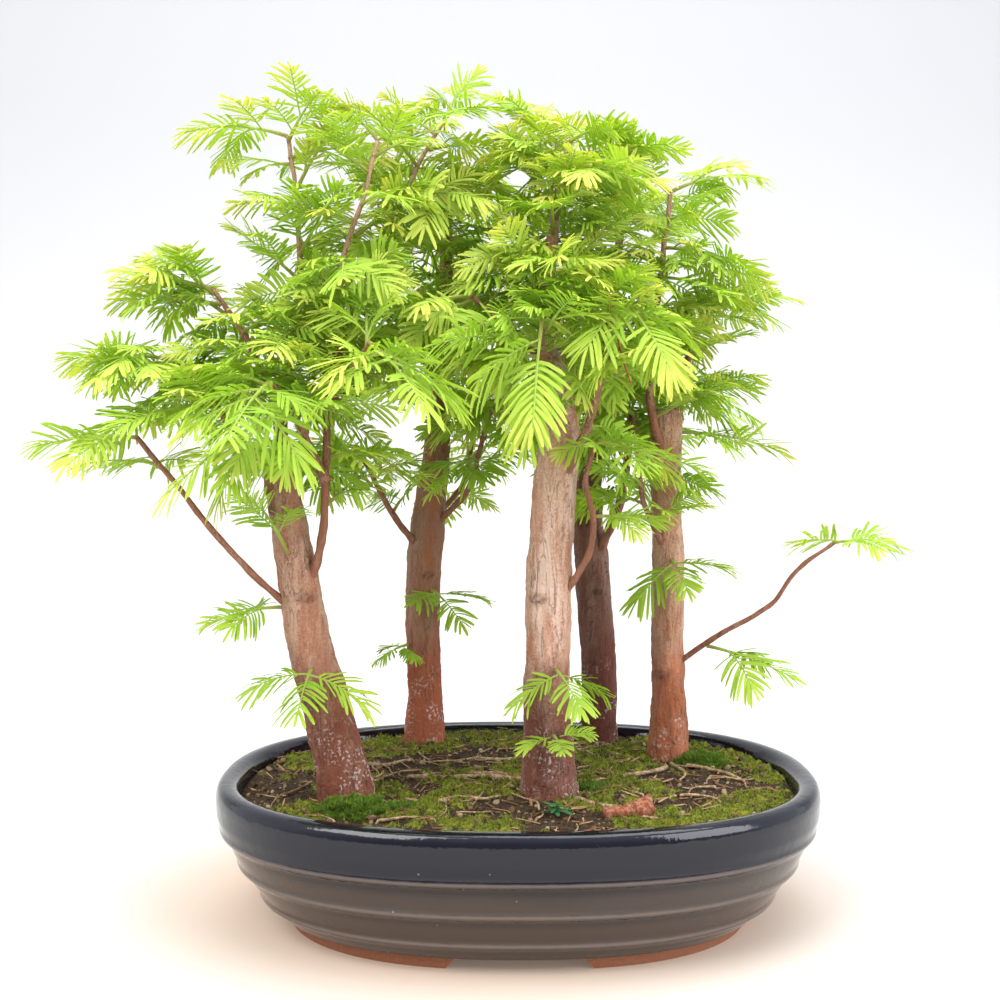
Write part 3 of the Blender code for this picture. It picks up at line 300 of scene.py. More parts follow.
# Lesser sprays that thicken the crown, by tree: the limb, the heights or shares of length between
# which they grow, how many there are, the shortest and longest bare length and, where they all face
# one way, that azimuth.
LESSER_SPRAYS = {
    "left": [
        ("pale_leader", 0.12, 0.98, 11, 8, 26), ("middle_leader", 0.1, 1.0, 12, 8, 26),
        ("right_leader", 0.06, 0.97, 14, 8, 30), ("right_riser", 0.35, 0.97, 8, 10, 32),
        ("left_limb", 0.3, 0.95, 5, 8, 20), ("upper_left", 0.25, 0.96, 5, 8, 22),
        ("back_limb", 0.4, 0.95, 4, 8, 24), ("front_right", 0.4, 0.95, 3, 8, 18),
        ("front_limb", 0.4, 0.95, 3, 8, 18), ("trunk", 194, 206, 3, 10, 24),
        ("upper_left", 0.3, 1.0, 6, 12, 28, 178), ("left_limb", 0.5, 1.0, 4, 12, 26, 182),
    ],
    "back_left": [
        ("trunk", 214, 311, 19, 12, 38), ("front_limb", 0.45, 0.97, 5, 8, 24),
        ("left_limb", 0.45, 0.96, 4, 8, 20), ("upper_left", 0.35, 0.95, 4, 8, 20),
        ("back_limb", 0.5, 0.9, 2, 8, 20), ("upper_back", 0.4, 0.9, 2, 8, 18),
    ],
    "front": [
        ("trunk", 216, 314, 24, 12, 38), ("right_limb", 0.4, 0.97, 7, 8, 22), ("trunk", 226, 306, 11, 8, 22, 264),
        ("left_limb", 0.4, 0.96, 5, 8, 24), ("sinuous_limb", 0.6, 0.97, 3, 6, 14),
        ("front_limb", 0.3, 0.8, 3, 8, 16),
    ],
    "back_centre": [
        ("trunk", 196, 290, 20, 12, 38), ("second_stem", 0.5, 0.97, 6, 8, 24),
        ("right_limb", 0.4, 0.96, 5, 8, 22), ("back_limb", 0.4, 0.96, 3, 8, 18),
    ],
    "right": [
        ("riser", 0.2, 0.99, 18, 8, 32), ("top_limb", 0.25, 1.0, 8, 8, 24),
        ("left_limb", 0.4, 1.0, 5, 6, 18),
    ],
}
KNOT_SHARE = 0.36              # of the way up, where each trunk has a knot that faces the front
KNOT_SHAPE = (0.9, 0.9, 1.7)   # makes the dark of a knot wider than it is high
BURRS, FRONT_KNOTS = 9, 2      # small lumps and scars on each trunk, and how many of them are such knots
KNOT_STEP = 0.14               # share of the way from one such knot to the next
KNOT_HEIGHTS, BURR_HEIGHTS, BURR_WIDTHS = (0.7, 1.2), (-0.5, 1.3), (1.8, 3.2)
SCARRED_HEIGHT = 0.3           # above which a burr has a dark scar
ROOT_FLARE = (0.06, 9.0)       # share of the radius, and how fast it fades with height
ROOT_RIDGES = (0.08, 20.0, 3)  # the same, and how many ridges run down into roots
COLLAR = (0.16, 34.0)          # the swelling under a limb: share of the radius, and its spread squared
TRUNK_STEP, LIMB_STEP, LIMB_SIDES = 1.3, 1.8, 12
# Waves of the trunk's skin, as breadth and length
SWELLS, PLATES, FIBRES = (9.0, 14.0), (4.2, 9.0), (1.5, 2.6)
GOLDEN_ANGLE = 137.5

# Sprays and fronds, as the construction makes them. Sizes are shares of a full frond.
SHOOT_SIZES = (0.92, 1.02)     # of the end frond, as drawn by chance
SIDE_SIZES = (0.88, 1.06)
PAIR_SHRINK = 0.06
FIRST_PAIR = 8.0
FIRST_PAIR_SHARE = 0.45
PAIR_STAGGER = 0.3
SIDE_START = 0.2
PAIR_ANGLE = 56.0
TUFT_LENGTH = 10.0
TUFT_ANGLE = 82.0
ANGLE_CHANCE = 6.0
ROLL_SHARE = 0.5
ROLL_CHANCE = 28.0
SEED = 7
END_PAIRS = 5
SIDE_PAIRS = 4
NEEDLED_LENGTH = 24.0
LAST_NEEDLE = 6.0
FROND_LENGTH = NEEDLED_LENGTH + LAST_NEEDLE
ROOT_LENGTH = 3.2
NEEDLE_LENGTH = 12.5
NEEDLE_ANGLES = (66.0, 40.0)
NEEDLE_SHORTEST = 0.62
NEEDLE_SWELL = 0.4
SWELL_FROM, SWELL_SPAN = 0.12, 0.85
NEEDLE_SAG = 0.08
RIB_BOTTOM = 0.75
SHOOT_THICKNESS = 2.0
GAP = 0.3
FROND_DROOP = 0.3
SHOOT_DROOPS = (0.6, 1.2)
SIDE_DROOPS = (0.6, 1.5)
CLEARANCE = 2.9
OWN_CLEARANCE = 2.0
WOOD_CLEARANCE = 1.6
RIB_SAMPLE = 3.0
RIB_SAMPLE_START = 2.0
NEEDLE_SAMPLES = (0.3, 0.55, 0.8, 1.0)
# The fine needles: the half width of one along its length, then how they stand on their rib
NEEDLE_RINGS = [(0.0, 0.35), (0.1, 0.8), (0.4, 1.0), (0.82, 0.95), (0.96, 0.6)]
FROND_SHARE = 0.86             # of the solid frond's length, which the fine rib takes
ROOT_ANGLES, TIP_ANGLES = (60, 76), (24, 40)
VEES = (-0.1, 0.4)             # how far the two ranks rise from flat
PAIR_SLIPS, ANGLE_SLIP = (0.012, 0.014), 8.0
NEEDLE_REACHES, NEEDLE_BREADTHS = (0.82, 1.06), (0.84, 1.08)
NEEDLE_TWIST, NEEDLE_LIFTS = 0.45, (-0.1, 0.12)
NEEDLE_CURLS, NEEDLE_FALLS = (0.05, 0.42), (-0.02, 0.5)
RIB_RADII, SHOOT_RADII = (0.42, 0.2), (0.85, 0.42)
SHOOT_ROOT = -2.4              # where a shoot starts, inside the wood
# How woody (1) or green (0) a shoot's foot and a rib are, and how fresh a frond is, by its height too
SHOOT_STEM, RIB_STEM = 0.8, 0.5
FRESHNESS, TIP_FRESHNESS = (0.1, 0.5), 0.42
FRESH_FROM, FRESH_SPAN = 120, 220
# A frond that would cross its neighbours tries these turns, lifts and rolls in degrees, in order.
TRIES = [(0, 0, 0), (0, 14, 0), (0, -16, 0), (10, 8, 25), (-10, -8, -25), (0, 28, 35), (0, -32, -35),
         (18, -22, 50), (-18, 22, -50)]
LESSER_TRIES = TRIES + [(turn + 40, lift, twist) for turn, lift, twist in TRIES]
# The lesser sprays, whose fronds may lie closer
LESSER_CLEARANCE = 0.7
LESSER_TURN = 25.0             # in degrees, as are the rises, the roll and the chance in the angle
LESSER_RISES = (-24, 52)
LESSER_ROLL = 65.0
LESSER_ANGLE_CHANCE = 14.0
LESSER_SHOOT_SIZES = (0.66, 0.96)
LESSER_SIDE_SIZES = (0.6, 0.95)
LESSER_DROOPS = (0.2, 1.5)
LESSER_PITCH = 9.0             # from one pair of fronds to the next
LESSER_FIRST = 0.35            # share of that before the first pair
LESSER_STAGGER = 0.06
LESSER_FAN = 26                # degrees between neighbours that all face one way

# Looks
# The bark of each tree: its cracks, body, streaks and scurf, the colour of its foot, and how far the
# scurf covers it.
BARKS = {
    "left": ((0.09, 0.03, 0.02), (0.4, 0.19, 0.12), (0.34, 0.12, 0.06), (0.58, 0.4, 0.3),
             (0.2, 0.055, 0.03), 0.6),
    "back_left": ((0.07, 0.025, 0.015), (0.3, 0.14, 0.085), (0.34, 0.12, 0.055), (0.4, 0.27, 0.2),
                  (0.38, 0.1, 0.045), 0.5),
    "front": ((0.14, 0.05, 0.03), (0.54, 0.31, 0.21), (0.42, 0.17, 0.09), (0.7, 0.5, 0.4),
              (0.17, 0.045, 0.03), 0.85),
    "back_centre": ((0.04, 0.015, 0.012), (0.2, 0.09, 0.065), (0.16, 0.055, 0.035), (0.36, 0.24, 0.2),
                    (0.17, 0.05, 0.035), 0.45),
    "right": ((0.12, 0.04, 0.025), (0.5, 0.27, 0.17), (0.46, 0.18, 0.09), (0.66, 0.47, 0.36),
              (0.46, 0.13, 0.055), 0.6),
}
# Colours that no setting holds
GLAZE_THIN_AND_REFLECTION_HEIGHTS = (0.045, 0.033)   # the heights in metres between which the glaze runs thin and the painted reflection of the warm floor comes in
# Painted shade under the ridges, and the painted highlight along them, which is partly worn glaze
PAINTED_RIDGE_SHADE = (0.004, 0.003, 0.005)
WORN_GLAZE_AND_HIGHLIGHT = (0.2, 0.15, 0.125)
GLAZE_SPECK = (0.3, 0.29, 0.28)
PALE_CLAY = (0.36, 0.15, 0.08)
BLACK_PLASTIC = (0.012, 0.012, 0.012)
DAMP_DUST = (0.06, 0.04, 0.025)
DRY_HUMUS = (0.11, 0.065, 0.035)
PALE_GRIT = (0.3, 0.22, 0.14)
YELLOW_MOSS_AND_HIGHLIGHT = (0.27, 0.25, 0.025)
SHADED_MOSS = (0.04, 0.034, 0.01)
MID_MOSS = (0.2, 0.25, 0.02)
CRUMB_COLOURS = [(0.035, 0.02, 0.01), (0.1, 0.055, 0.025), (0.2, 0.13, 0.07), (0.38, 0.29, 0.18)]
LITTER_COLOURS = [(0.07, 0.03, 0.015), (0.22, 0.1, 0.045), (0.42, 0.26, 0.13)]
CUSHION_COLOURS = [(0.04, 0.085, 0.01), (0.15, 0.25, 0.025), (0.36, 0.5, 0.06)]
WEED_COLOURS = [(0.03, 0.14, 0.05), (0.1, 0.32, 0.1), (0.3, 0.5, 0.2)]
TIP_YELLOW = (0.82, 0.78, 0.2)
SUNLIT_GREEN = (0.66, 0.82, 0.1)
GREEN_SHOOT = (0.5, 0.62, 0.14)
BROWN_SHOOT = (0.36, 0.2, 0.1)
RED_TWIG = (0.3, 0.12, 0.07)
PALE_TWIG = (0.5, 0.3, 0.19)
LICHEN = (0.62, 0.55, 0.51)
DARK_GRAIN = (0.2, 0.12, 0.07)
PALE_GRAIN = (0.46, 0.36, 0.25)
DRY_ROOT = ((0.26, 0.15, 0.08), (0.5, 0.36, 0.22))
DRY_TWIG = ((0.34, 0.1, 0.04), (0.6, 0.26, 0.1))
RED_ROOT = ((0.22, 0.06, 0.03), (0.42, 0.18, 0.1))
ROOT_CRACK = (0.06, 0.03, 0.02)
ROOM_FRONT, ROOM_BACK = (0.36, 0.37, 0.39), (0.9, 0.95, 1.0)
ROOM_STRENGTH = 1.2

# Stage: the paper sweep in millimetres from the tray's centre, and the lights in metres
SWEEP_FRONT, SWEEP_RUN, SWEEP_HALF_WIDTH = -1600.0, 4200.0, 2600.0
SWEEP_BEND, SWEEP_RADIUS = 900.0, 700.0
SWEEP_GAP = 0.05               # between the paper and the soles of the feet
AIM_HEIGHT = 0.15
# Each light: its place, its size, its share of the key's power, and its colour
LIGHTS = [
    ("key", (-0.9, -0.9, 1.35), (1.1, 1.1), 1.0, (1.0, 0.97, 0.93)),
    ("top", (0.1, 0.1, 1.6), (1.6, 1.2), 0.9, (0.96, 0.98, 1.0)),
    ("fill", (1.2, -0.8, 0.8), (1.0, 1.2), 0.75, (0.95, 0.97, 1.0)),
]


# Settings

def colour_setting(name, description, default):
    return FloatVectorProperty(name=name, description=description, subtype="COLOR", default=default, min=0, max=1)


def length_setting(name, description, default, low, high):
    return FloatProperty(name=name, description=description, subtype="DISTANCE", unit="LENGTH",
                         default=default, min=low, max=high)


def count_setting(name, description, default, low, high):
    return IntProperty(name=name, description=description, default=default, min=low, max=high)


class TraySettings(bpy.types.PropertyGroup):
    glaze: colour_setting("Glaze", "Colour of the glaze where it is thick", (0.002, 0.002, 0.008))
    # Partly the glaze's own brown where it runs thin, partly a painted reflection of the warm floor
    thin_glaze_and_reflection: colour_setting("Thin glaze", "Colour where the glaze runs thin", (0.05, 0.034, 0.026))
    clay: colour_setting("Clay", "Colour of the bare clay underneath", (0.2, 0.07, 0.035))
    sides: count_setting("Sides", "Flats round the tray", 144, 36, 256)


class SoilSettings(bpy.types.PropertyGroup):
    humus: colour_setting("Humus", "Colour of the bare soil", (0.03, 0.018, 0.01))
    moss: colour_setting("Moss", "Colour of the moss in the shade", (0.06, 0.07, 0.008))
    fresh_moss: colour_setting("Fresh moss", "Colour of the tips of the moss", (0.25, 0.27, 0.022))
    tufts: count_setting("Moss tufts", "Number of single moss shoots", 11000, 0, 30000)
    crumbs: count_setting("Crumbs", "Number of loose crumbs and chips", 2200, 0, 5000)


class TreeSettings(bpy.types.PropertyGroup):
    sides: count_setting("Sides", "Flats round a trunk", 44, 8, 96)
    relief: length_setting("Bark relief", "Depth of the furrows in the bark", 0.0006, 0, 0.003)


class FoliageSettings(bpy.types.PropertyGroup):
    pairs: count_setting("Needle pairs", "Pairs of needles on a frond", 10, 3, 20)
    length: length_setting("Needle length", "Length of the longest needles", 0.0138, 0.004, 0.03)
    width: length_setting("Needle width", "Width of a needle across its middle", 0.00135, 0.0005, 0.005)
    mature: colour_setting("Mature needles", "Colour of the inner needles", (0.27, 0.5, 0.035))
    young: colour_setting("Young needles", "Colour of the needles at the tips", (0.55, 0.71, 0.1))


class StageSettings(bpy.types.PropertyGroup):
    floor: colour_setting("Floor", "Colour of the floor", (0.55, 0.53, 0.51))
    wall: colour_setting("Wall", "Colour of the backdrop", (0.49, 0.495, 0.51))
    # Painted shadow and warm bounce light on the floor under and around the tray
    painted_shadow_and_bounce: colour_setting("Floor by the tray", "Colour of the floor close to the tray", (0.56, 0.44, 0.35))
    key: FloatProperty(name="Key light", description="Power of the main soft light in watts", default=28.0, min=0)


# Shapes

def finish_mesh(mesh, name, materials, smooth=True):
    """Makes an object of a mesh in millimetres, in metres and in the part's own frame."""
    places = np.empty(len(mesh.vertices) * 3, np.float32)
    mesh.vertices.foreach_get("co", places)
    places = places.reshape(-1, 3) * MM + (*CENTRE, 0.0)
    mesh.vertices.foreach_set("co", places.astype(np.float32).ravel())
    mesh.polygons.foreach_set("use_smooth", [smooth] * len(mesh.polygons))
    for look in materials:
        mesh.materials.append(look)
    mesh.update()
    mesh.name = name
    made = bpy.data.objects.new(name, mesh)
    bpy.context.scene.collection.objects.link(made)
    return made


def mesh_of(shape, name="shape", outward=True):
    """The shape as a mesh, with its faces pointing outwards."""
    if outward:
        bmesh.ops.recalc_face_normals(shape, faces=shape.faces)
    mesh = bpy.data.meshes.new(name)
    shape.to_mesh(mesh)
    shape.free()
    return mesh


def helper(shape, name, outward=True):
    """An object for a Boolean, which goes with it."""
    made = bpy.data.objects.new(name, mesh_of(shape, name, outward))
    bpy.context.scene.collection.objects.link(made)
    return made


def extruded(shape, edges):
    """Extrudes a ring of edges in place, and gives the new vertices and edges."""
    grown = bmesh.ops.extrude_edge_only(shape, edges=edges)["geom"]
    ring = [item for item in grown if isinstance(item, bmesh.types.BMVert)]
    known = set(ring)
    return ring, [item for item in grown if isinstance(item, bmesh.types.BMEdge)
                  and item.verts[0] in known and item.verts[1] in known]


def loft(shape, rings, pointed=False):
    """Extrudes a circle of vertices from ring to ring. The last ring is closed flat, or to a point."""
    ring = bmesh.ops.create_circle(shape, segments=len(rings[0]), radius=1.0)["verts"]
    first = edges = list(dict.fromkeys(edge for vert in ring for edge in vert.link_edges))
    for number, places in enumerate(rings):
        if number:
            ring, edges = extruded(shape, edges)
        for vert, place in zip(ring, places):
            vert.co = place
    bmesh.ops.contextual_create(shape, geom=first)
    if pointed:
        middle = sum((vert.co for vert in ring), Vector()) / len(ring)
        bmesh.ops.pointmerge(shape, verts=ring, merge_co=middle)
    else:
        bmesh.ops.contextual_create(shape, geom=edges)


def repeated(template, count):
    """A mesh that holds the template this many times over, one copy after the other."""
    shape = bmesh.new()
    block = template.copy()
    while count:
        if count & 1:
            shape.from_mesh(block)
        count >>= 1
        double = bmesh.new()
        double.from_mesh(block)
        double.from_mesh(block)
        double.to_mesh(block)
        double.free()
    bpy.data.meshes.remove(block)
    return mesh_of(shape, outward=False)


def points_of(mesh):
    places = np.empty(len(mesh.vertices) * 3, np.float32)
    mesh.vertices.foreach_get("co", places)
    return places.reshape(-1, 3).astype(float)


def scattered(template, places):
    """Copies of the template with their vertices at places, an array of (copy, vertex, 3)."""
    mesh = repeated(template, len(places))
    mesh.vertices.foreach_set("co", np.asarray(places, np.float32).ravel())
    return mesh


def set_values(mesh, name, values):
    """Stores one number a vertex, which a material reads by name."""
    layer = mesh.attributes.new(name, "FLOAT", "POINT")
    layer.data.foreach_set("value", np.asarray(values, np.float32).ravel())


def smooth_path(points, step):
    """Points about one step apart on a smooth curve through the given ones, radii and all."""
    points = np.array(points, float)
    padded = np.vstack([2 * points[0] - points[1], points, 2 * points[-1] - points[-2]])
    made = []
    for before, start, end, after in zip(padded, padded[1:], padded[2:], padded[3:]):
        count = max(int(np.linalg.norm(end[:3] - start[:3]) / step), 1)
        for share in np.arange(count) / count:
            made.append(start + 0.5 * share * (end - before + share * (
                2 * before - 5 * start + 4 * end - after + share * (3 * (start - end) + after - before))))
    made.append(points[-1])
    return np.array(made)


def rings_along(path, sides):
    """Rings round a path of (x, y, z, radius), each turned as little as it can be from the last."""
    places, radii = path[:, :3], path[:, 3]
    tangents = np.gradient(places, axis=0)
    tangents /= np.linalg.norm(tangents, axis=1, keepdims=True)
    side = np.cross(tangents[0], (0.31, 0.95, 0.05))
    angles = np.arange(sides) * 2 * math.pi / sides
    rings = []
    for place, radius, tangent in zip(places, radii, tangents):
        side = unit(side - tangent * np.dot(side, tangent))
        up = np.cross(tangent, side)
        rings.append(place + radius * (np.outer(np.cos(angles), side) + np.outer(np.sin(angles), up)))
    return rings


# The oval of the tray

def oval_point(angle, half):
    """The point at this angle of an oval with these half sizes."""
    along, across = math.cos(angle), math.sin(angle)
    power = 2.0 / OVAL_POWER
    x = math.copysign(abs(along) ** power, along) * half[0]
    y = math.copysign(abs(across) ** power, across) * half[1]
    return x, y


def oval_radius(x, y, half):
    """0 at the centre and 1 on the oval with these half sizes."""
    total = abs(x / half[0]) ** OVAL_POWER + abs(y / half[1]) ** OVAL_POWER
    return total ** (1.0 / OVAL_POWER)


def inset(amount):
    return LIP_HALF[0] - amount, LIP_HALF[1] - amount


def inner_half(height):
    """Half sizes of the tray's inner wall at this height."""
    spread, curved = FLOOR_CURVE
    low, high = (inset(amount) for amount in INNER_INSETS)
    halves = (FLOOR_HALF, tuple(size + spread for size in FLOOR_HALF), low, high)
    heights = (FLOOR_TOP, curved, INNER_WALL_LOW, INNER_WALL_HIGH)
    return tuple(float(np.interp(height, heights, [half[axis] for half in halves])) for axis in (0, 1))


def oval_rings(outline, sides):
    angles = [2 * math.pi * i / sides for i in range(sides)]
    return [[(*oval_point(angle, half), height) for angle in angles] for half, height in outline]


def oval_solid(outline, sides, name):
    shape = bmesh.new()
    loft(shape, oval_rings(outline, sides))
    return helper(shape, name)


def boolean(item, others, operation):
    """One exact Boolean of item with each of the others, which are removed."""
    for other in others:
        modifier = item.modifiers.new(operation.lower(), "BOOLEAN")
        modifier.operation = operation
        modifier.object = other
        modifier.solver = "EXACT"
    bpy.context.view_layer.update()
    graph = bpy.context.evaluated_depsgraph_get()
    mesh = bpy.data.meshes.new_from_object(item.evaluated_get(graph))
    item.modifiers.clear()
    item.data = mesh
    for other in others:
        bpy.data.objects.remove(other, do_unlink=True)


def wall_outline():
    """The outer wall from the underside to the lip, softened, with its thrown ridges."""
    heights = np.arange(WALL[0][0], WALL[-1][0], WALL_STEP)
    flares = np.interp(heights, *zip(*WALL))
    ends = np.concatenate([flares[:1], flares, flares[-1:]])
    flares = (ends[:-2] + 2 * ends[1:-1] + ends[2:]) / 4
    outline = []
    for height, flare in zip(heights, flares):
        stand = sum(RIDGE_STAND * math.exp(-((height - ridge) / RIDGE_WIDTH) ** 2) for ridge in RIDGES)
        half = tuple(base + flare * (lip - base) + stand for base, lip in zip(BASE_HALF, LIP_HALF))
        outline.append((half, float(height)))
    return outline


def channel(width, turn):
    """A bar whose sides slope out downwards, right across the tray under its floor."""
    shape = bmesh.new()
    bmesh.ops.create_cube(shape, size=1.0)
    for vert in shape.verts:
        level = 0 if vert.co.z < 0 else 1
        x = math.copysign(width / 2 + CHANNEL_SLOPE[level], vert.co.x)
        y = math.copysign(CHANNEL_REACH, vert.co.y)
        vert.co.x = x * math.cos(turn) - y * math.sin(turn)
        vert.co.y = x * math.sin(turn) + y * math.cos(turn)
        vert.co.z = CHANNEL_HEIGHTS[level]
    return helper(shape, "channel")


def make_tray(settings, look):
    sides = settings.sides
    outline = wall_outline()
    outline += [(inset(amount), height) for amount, height in RIM]
    outline += [(inner_half(height), height) for height in INNER_STEPS]
    outline += [(tuple(size * share for size in FLOOR_HALF), FLOOR_TOP) for share in (1.0, FLOOR_MIDDLE)]
    tray = oval_solid(outline, sides, "tray_body")

    outer = tuple(size - FOOT_RING_INSET for size in BASE_HALF)
    inner = tuple(size - FOOT_RING_WIDTH for size in outer)
    sole = tuple(size - FOOT_TAPER for size in outer)
    feet = oval_solid([(sole, 0.0), (outer, FOOT_HEIGHT), (outer, FOOT_HEIGHT + FOOT_ROOT)], sides, "feet")
    middle = oval_solid([(inner, height) for height in MIDDLE_CUT], sides, "middle")
    boolean(feet, [middle, channel(FRONT_CHANNEL_WIDTH, 0.0), channel(SIDE_CHANNEL_WIDTH, math.pi / 2)],
            "DIFFERENCE")
    boolean(tray, [feet], "UNION")
    drains = []
    for side in (-1, 1):
        shape = bmesh.new()
        bmesh.ops.create_cone(shape, cap_ends=True, segments=DRAIN_SIDES, radius1=DRAIN_RADIUS,
                              radius2=DRAIN_RADIUS, depth=DRAIN_CUT)
        bmesh.ops.translate(shape, vec=(side * DRAIN_X, 0, 0), verts=shape.verts)
        drains.append(helper(shape, "drain", outward=False))
    boolean(tray, drains, "DIFFERENCE")

    mesh = tray.data
    bpy.data.objects.remove(tray, do_unlink=True)
    made = finish_mesh(mesh, "glazed_tray", [look])
    mesh.set_sharp_from_angle(angle=math.radians(SHARP_ANGLE))
    return made


# Soil and what lies on it

def soil_height(x, y):
    """The height of the soil's surface, which the mound, the slope and the waves make."""
    out = min(oval_radius(x, y, inner_half(SOIL_EDGE)), 1.0)
    waves = SOIL_WAVE * math.sin(x / SOIL_WAVES[0] + 1.0) * math.sin(y / SOIL_WAVES[1])
    return SOIL_EDGE + SOIL_MOUND * (1 - out ** SOIL_MOUND_POWER) + SOIL_SLOPE * y + waves * (1 - out)


def moss_share(x, y):
    """0 on bare soil and 1 in a patch of moss."""
    return min(max(0.5 + MOSS_CONTRAST * (layers(x, y, MOSS_LAYERS) + MOSS_BIAS), 0.0), 1.0)


def ground_height(x, y):
    """The height of the finished surface, with its moss and its crumbs."""
    moss = moss_share(x, y)
    return (soil_height(x, y) + moss * MOSS_RISE * (0.5 + layers(x, y, LUMP_LAYERS))
            + (1 - moss) * CRUMB_RISE * layers(x, y, CRUMB_LAYERS))


def make_soil(look):
    """A closed slab of soil, with a fine surface and the tray's inner shape below."""
    shape = bmesh.new()
    columns, rows = SOIL_GRID
    bmesh.ops.create_grid(shape, x_segments=columns, y_segments=rows, size=1.0)
    rim = tuple(size - SOIL_INSET for size in inner_half(SOIL_EDGE))
    moss = []
    for vert in shape.verts:
        u, v = vert.co.x, vert.co.y
        x, y = u * math.sqrt(1 - v * v / 2), v * math.sqrt(1 - u * u / 2)
        reach = math.hypot(x, y)
        x, y = (reach * size for size in oval_point(math.atan2(y, x), rim))
        vert.co = (x, y, ground_height(x, y) if reach < 0.999 else SOIL_EDGE)
        moss.append(moss_share(x, y))
    edges = [edge for edge in shape.edges if edge.is_boundary]
    for level in (INNER_WALL_LOW, FLOOR_CURVE[1], SOIL_BOTTOM):
        ring, edges = extruded(shape, edges)
        for vert in ring:
            half = tuple(size - SOIL_INSET for size in inner_half(vert.co.z))
            out = oval_radius(vert.co.x, vert.co.y, half)
            low = tuple(size - SOIL_INSET for size in inner_half(level))
            vert.co = (vert.co.x / half[0] * low[0] / out, vert.co.y / half[1] * low[1] / out, level)
        moss += [0.0] * len(ring)
    bmesh.ops.contextual_create(shape, geom=edges)
    mesh = mesh_of(shape)
    set_values(mesh, "moss", moss)
    return finish_mesh(mesh, "mossy_soil", [look])


def on_soil(chance, reach=0.97):
    """A random place on the soil."""
    half = inner_half(SOIL_EDGE)
    while True:
        x, y = chance.uniform(-1, 1) * half[0], chance.uniform(-1, 1) * half[1]
        if oval_radius(x, y, half) < reach:
            return x, y


def blade_template():
    """A slim three-sided spike, one unit high."""
    shape = bmesh.new()
    bmesh.ops.create_cone(shape, cap_ends=True, segments=3, radius1=0.5, radius2=0.0, depth=1.0)
    bmesh.ops.translate(shape, vec=(0, 0, 0.5), verts=shape.verts)
    return mesh_of(shape)


def laid(points, place, *axes):
    """Points of a template, laid at a place along three axes, which give its size too."""
    return place + points @ np.array(axes)


def placed_copies(points, spots):
    """Lays copies of the points at spots of (place, direction, turn, width, height)."""
    made = []
    for place, direction, turn, width, height in spots:
        up = unit(np.array(direction, float))
        side = turned(unit(np.cross(up, (0.3, 0.9, 0.31))), up, turn)
        made.append(laid(points, place, width * side, width * np.cross(up, side), height * up))
    return np.array(made)


def strewn(template, copies, tints, name, look):
    """A finished piece of copies of the template, which its material tints."""
    mesh = scattered(template, copies)
    set_values(mesh, "tint", tints)
    return finish_mesh(mesh, name, [look], smooth=False)


def layers(x, y, waves):
    """Noise at a place, in layers of (breadth, drift, share)."""
    return sum(share * noise.noise(Vector((x / size, y / size, drift))) for size, drift, share in waves)


def make_tufts(settings, look):
    """Single moss shoots, standing on the patches of moss."""
    chance = random.Random(SEED)
    template = blade_template()
    spots, tints = [], []
    while len(spots) < settings.tufts:
        x, y = on_soil(chance)
        moss = moss_share(x, y)
        if moss < chance.uniform(0.15, 0.9):
            continue
        lean = (chance.uniform(-0.5, 0.5), chance.uniform(-0.5, 0.5), 1.0)
        height = chance.uniform(*TUFT_HEIGHTS) * (0.6 + 0.4 * moss)
        spots.append(((x, y, ground_height(x, y) - 0.2), lean, chance.uniform(0, 360),
                      chance.uniform(*TUFT_WIDTHS), height))
        tints.append(chance.uniform(0.0, 1.0))
    points = points_of(template)
    tips = 0.5 * np.array(tints)[:, None] + 0.5 * points[None, :, 2]
    return strewn(template, placed_copies(points, spots), tips, "moss_tufts", look)


def make_cushion(place, name, look, leaves):
    """A domed cushion of moss: a lumpy body with small leaves all over."""
    x, y, half_x, half_y, height = place
    chance = random.Random(round(abs(x * 7 + y)))
    shape = bmesh.new()
    bmesh.ops.create_icosphere(shape, subdivisions=4, radius=1.0)
    for vert in shape.verts:
        swell = 0.88 + 0.3 * noise.noise(vert.co * 3.1) + 0.14 * noise.noise(vert.co * 8.0)
        ground = soil_height(x + vert.co.x * half_x, y + vert.co.y * half_y)
        vert.co = (x + vert.co.x * half_x * swell, y + vert.co.y * half_y * swell,
                   ground + vert.co.z * height * swell - 0.6)
    body = mesh_of(shape, outward=False)
    template = blade_template()
    spots = []
    for _ in range(leaves):
        around, up = chance.uniform(0, 2 * math.pi), chance.uniform(0.05, 1.0)
        flat = math.sqrt(1 - up * up)
        out = np.array((math.cos(around) * flat, math.sin(around) * flat, up))
        swell = 0.87 + 0.3 * noise.noise(Vector(out) * 3.1)
        px, py = x + out[0] * half_x * swell, y + out[1] * half_y * swell
        pz = soil_height(px, py) + out[2] * height * swell - 0.9
        lean = out * (0.9, 0.9, 0.8) + [chance.uniform(-0.6, 0.6) for _ in range(3)] + np.array((0, 0, 0.5))
        spots.append(((px, py, pz), lean, chance.uniform(0, 360), chance.uniform(*LEAF_WIDTHS),
                      chance.uniform(*LEAF_HEIGHTS)))
    points = points_of(template)
    shape = bmesh.new()
    shape.from_mesh(body)
    shape.from_mesh(scattered(template, placed_copies(points, spots)))
    mesh = mesh_of(shape, outward=False)
    tints = np.array([chance.uniform(0.35, 1.0) for _ in spots])
    tips = (tints[:, None] * (0.45 + 0.55 * points[None, :, 2])).ravel()
    set_values(mesh, "tint", np.concatenate([np.full(len(body.vertices), 0.12), tips]))
    return finish_mesh(mesh, name, [look], smooth=False)


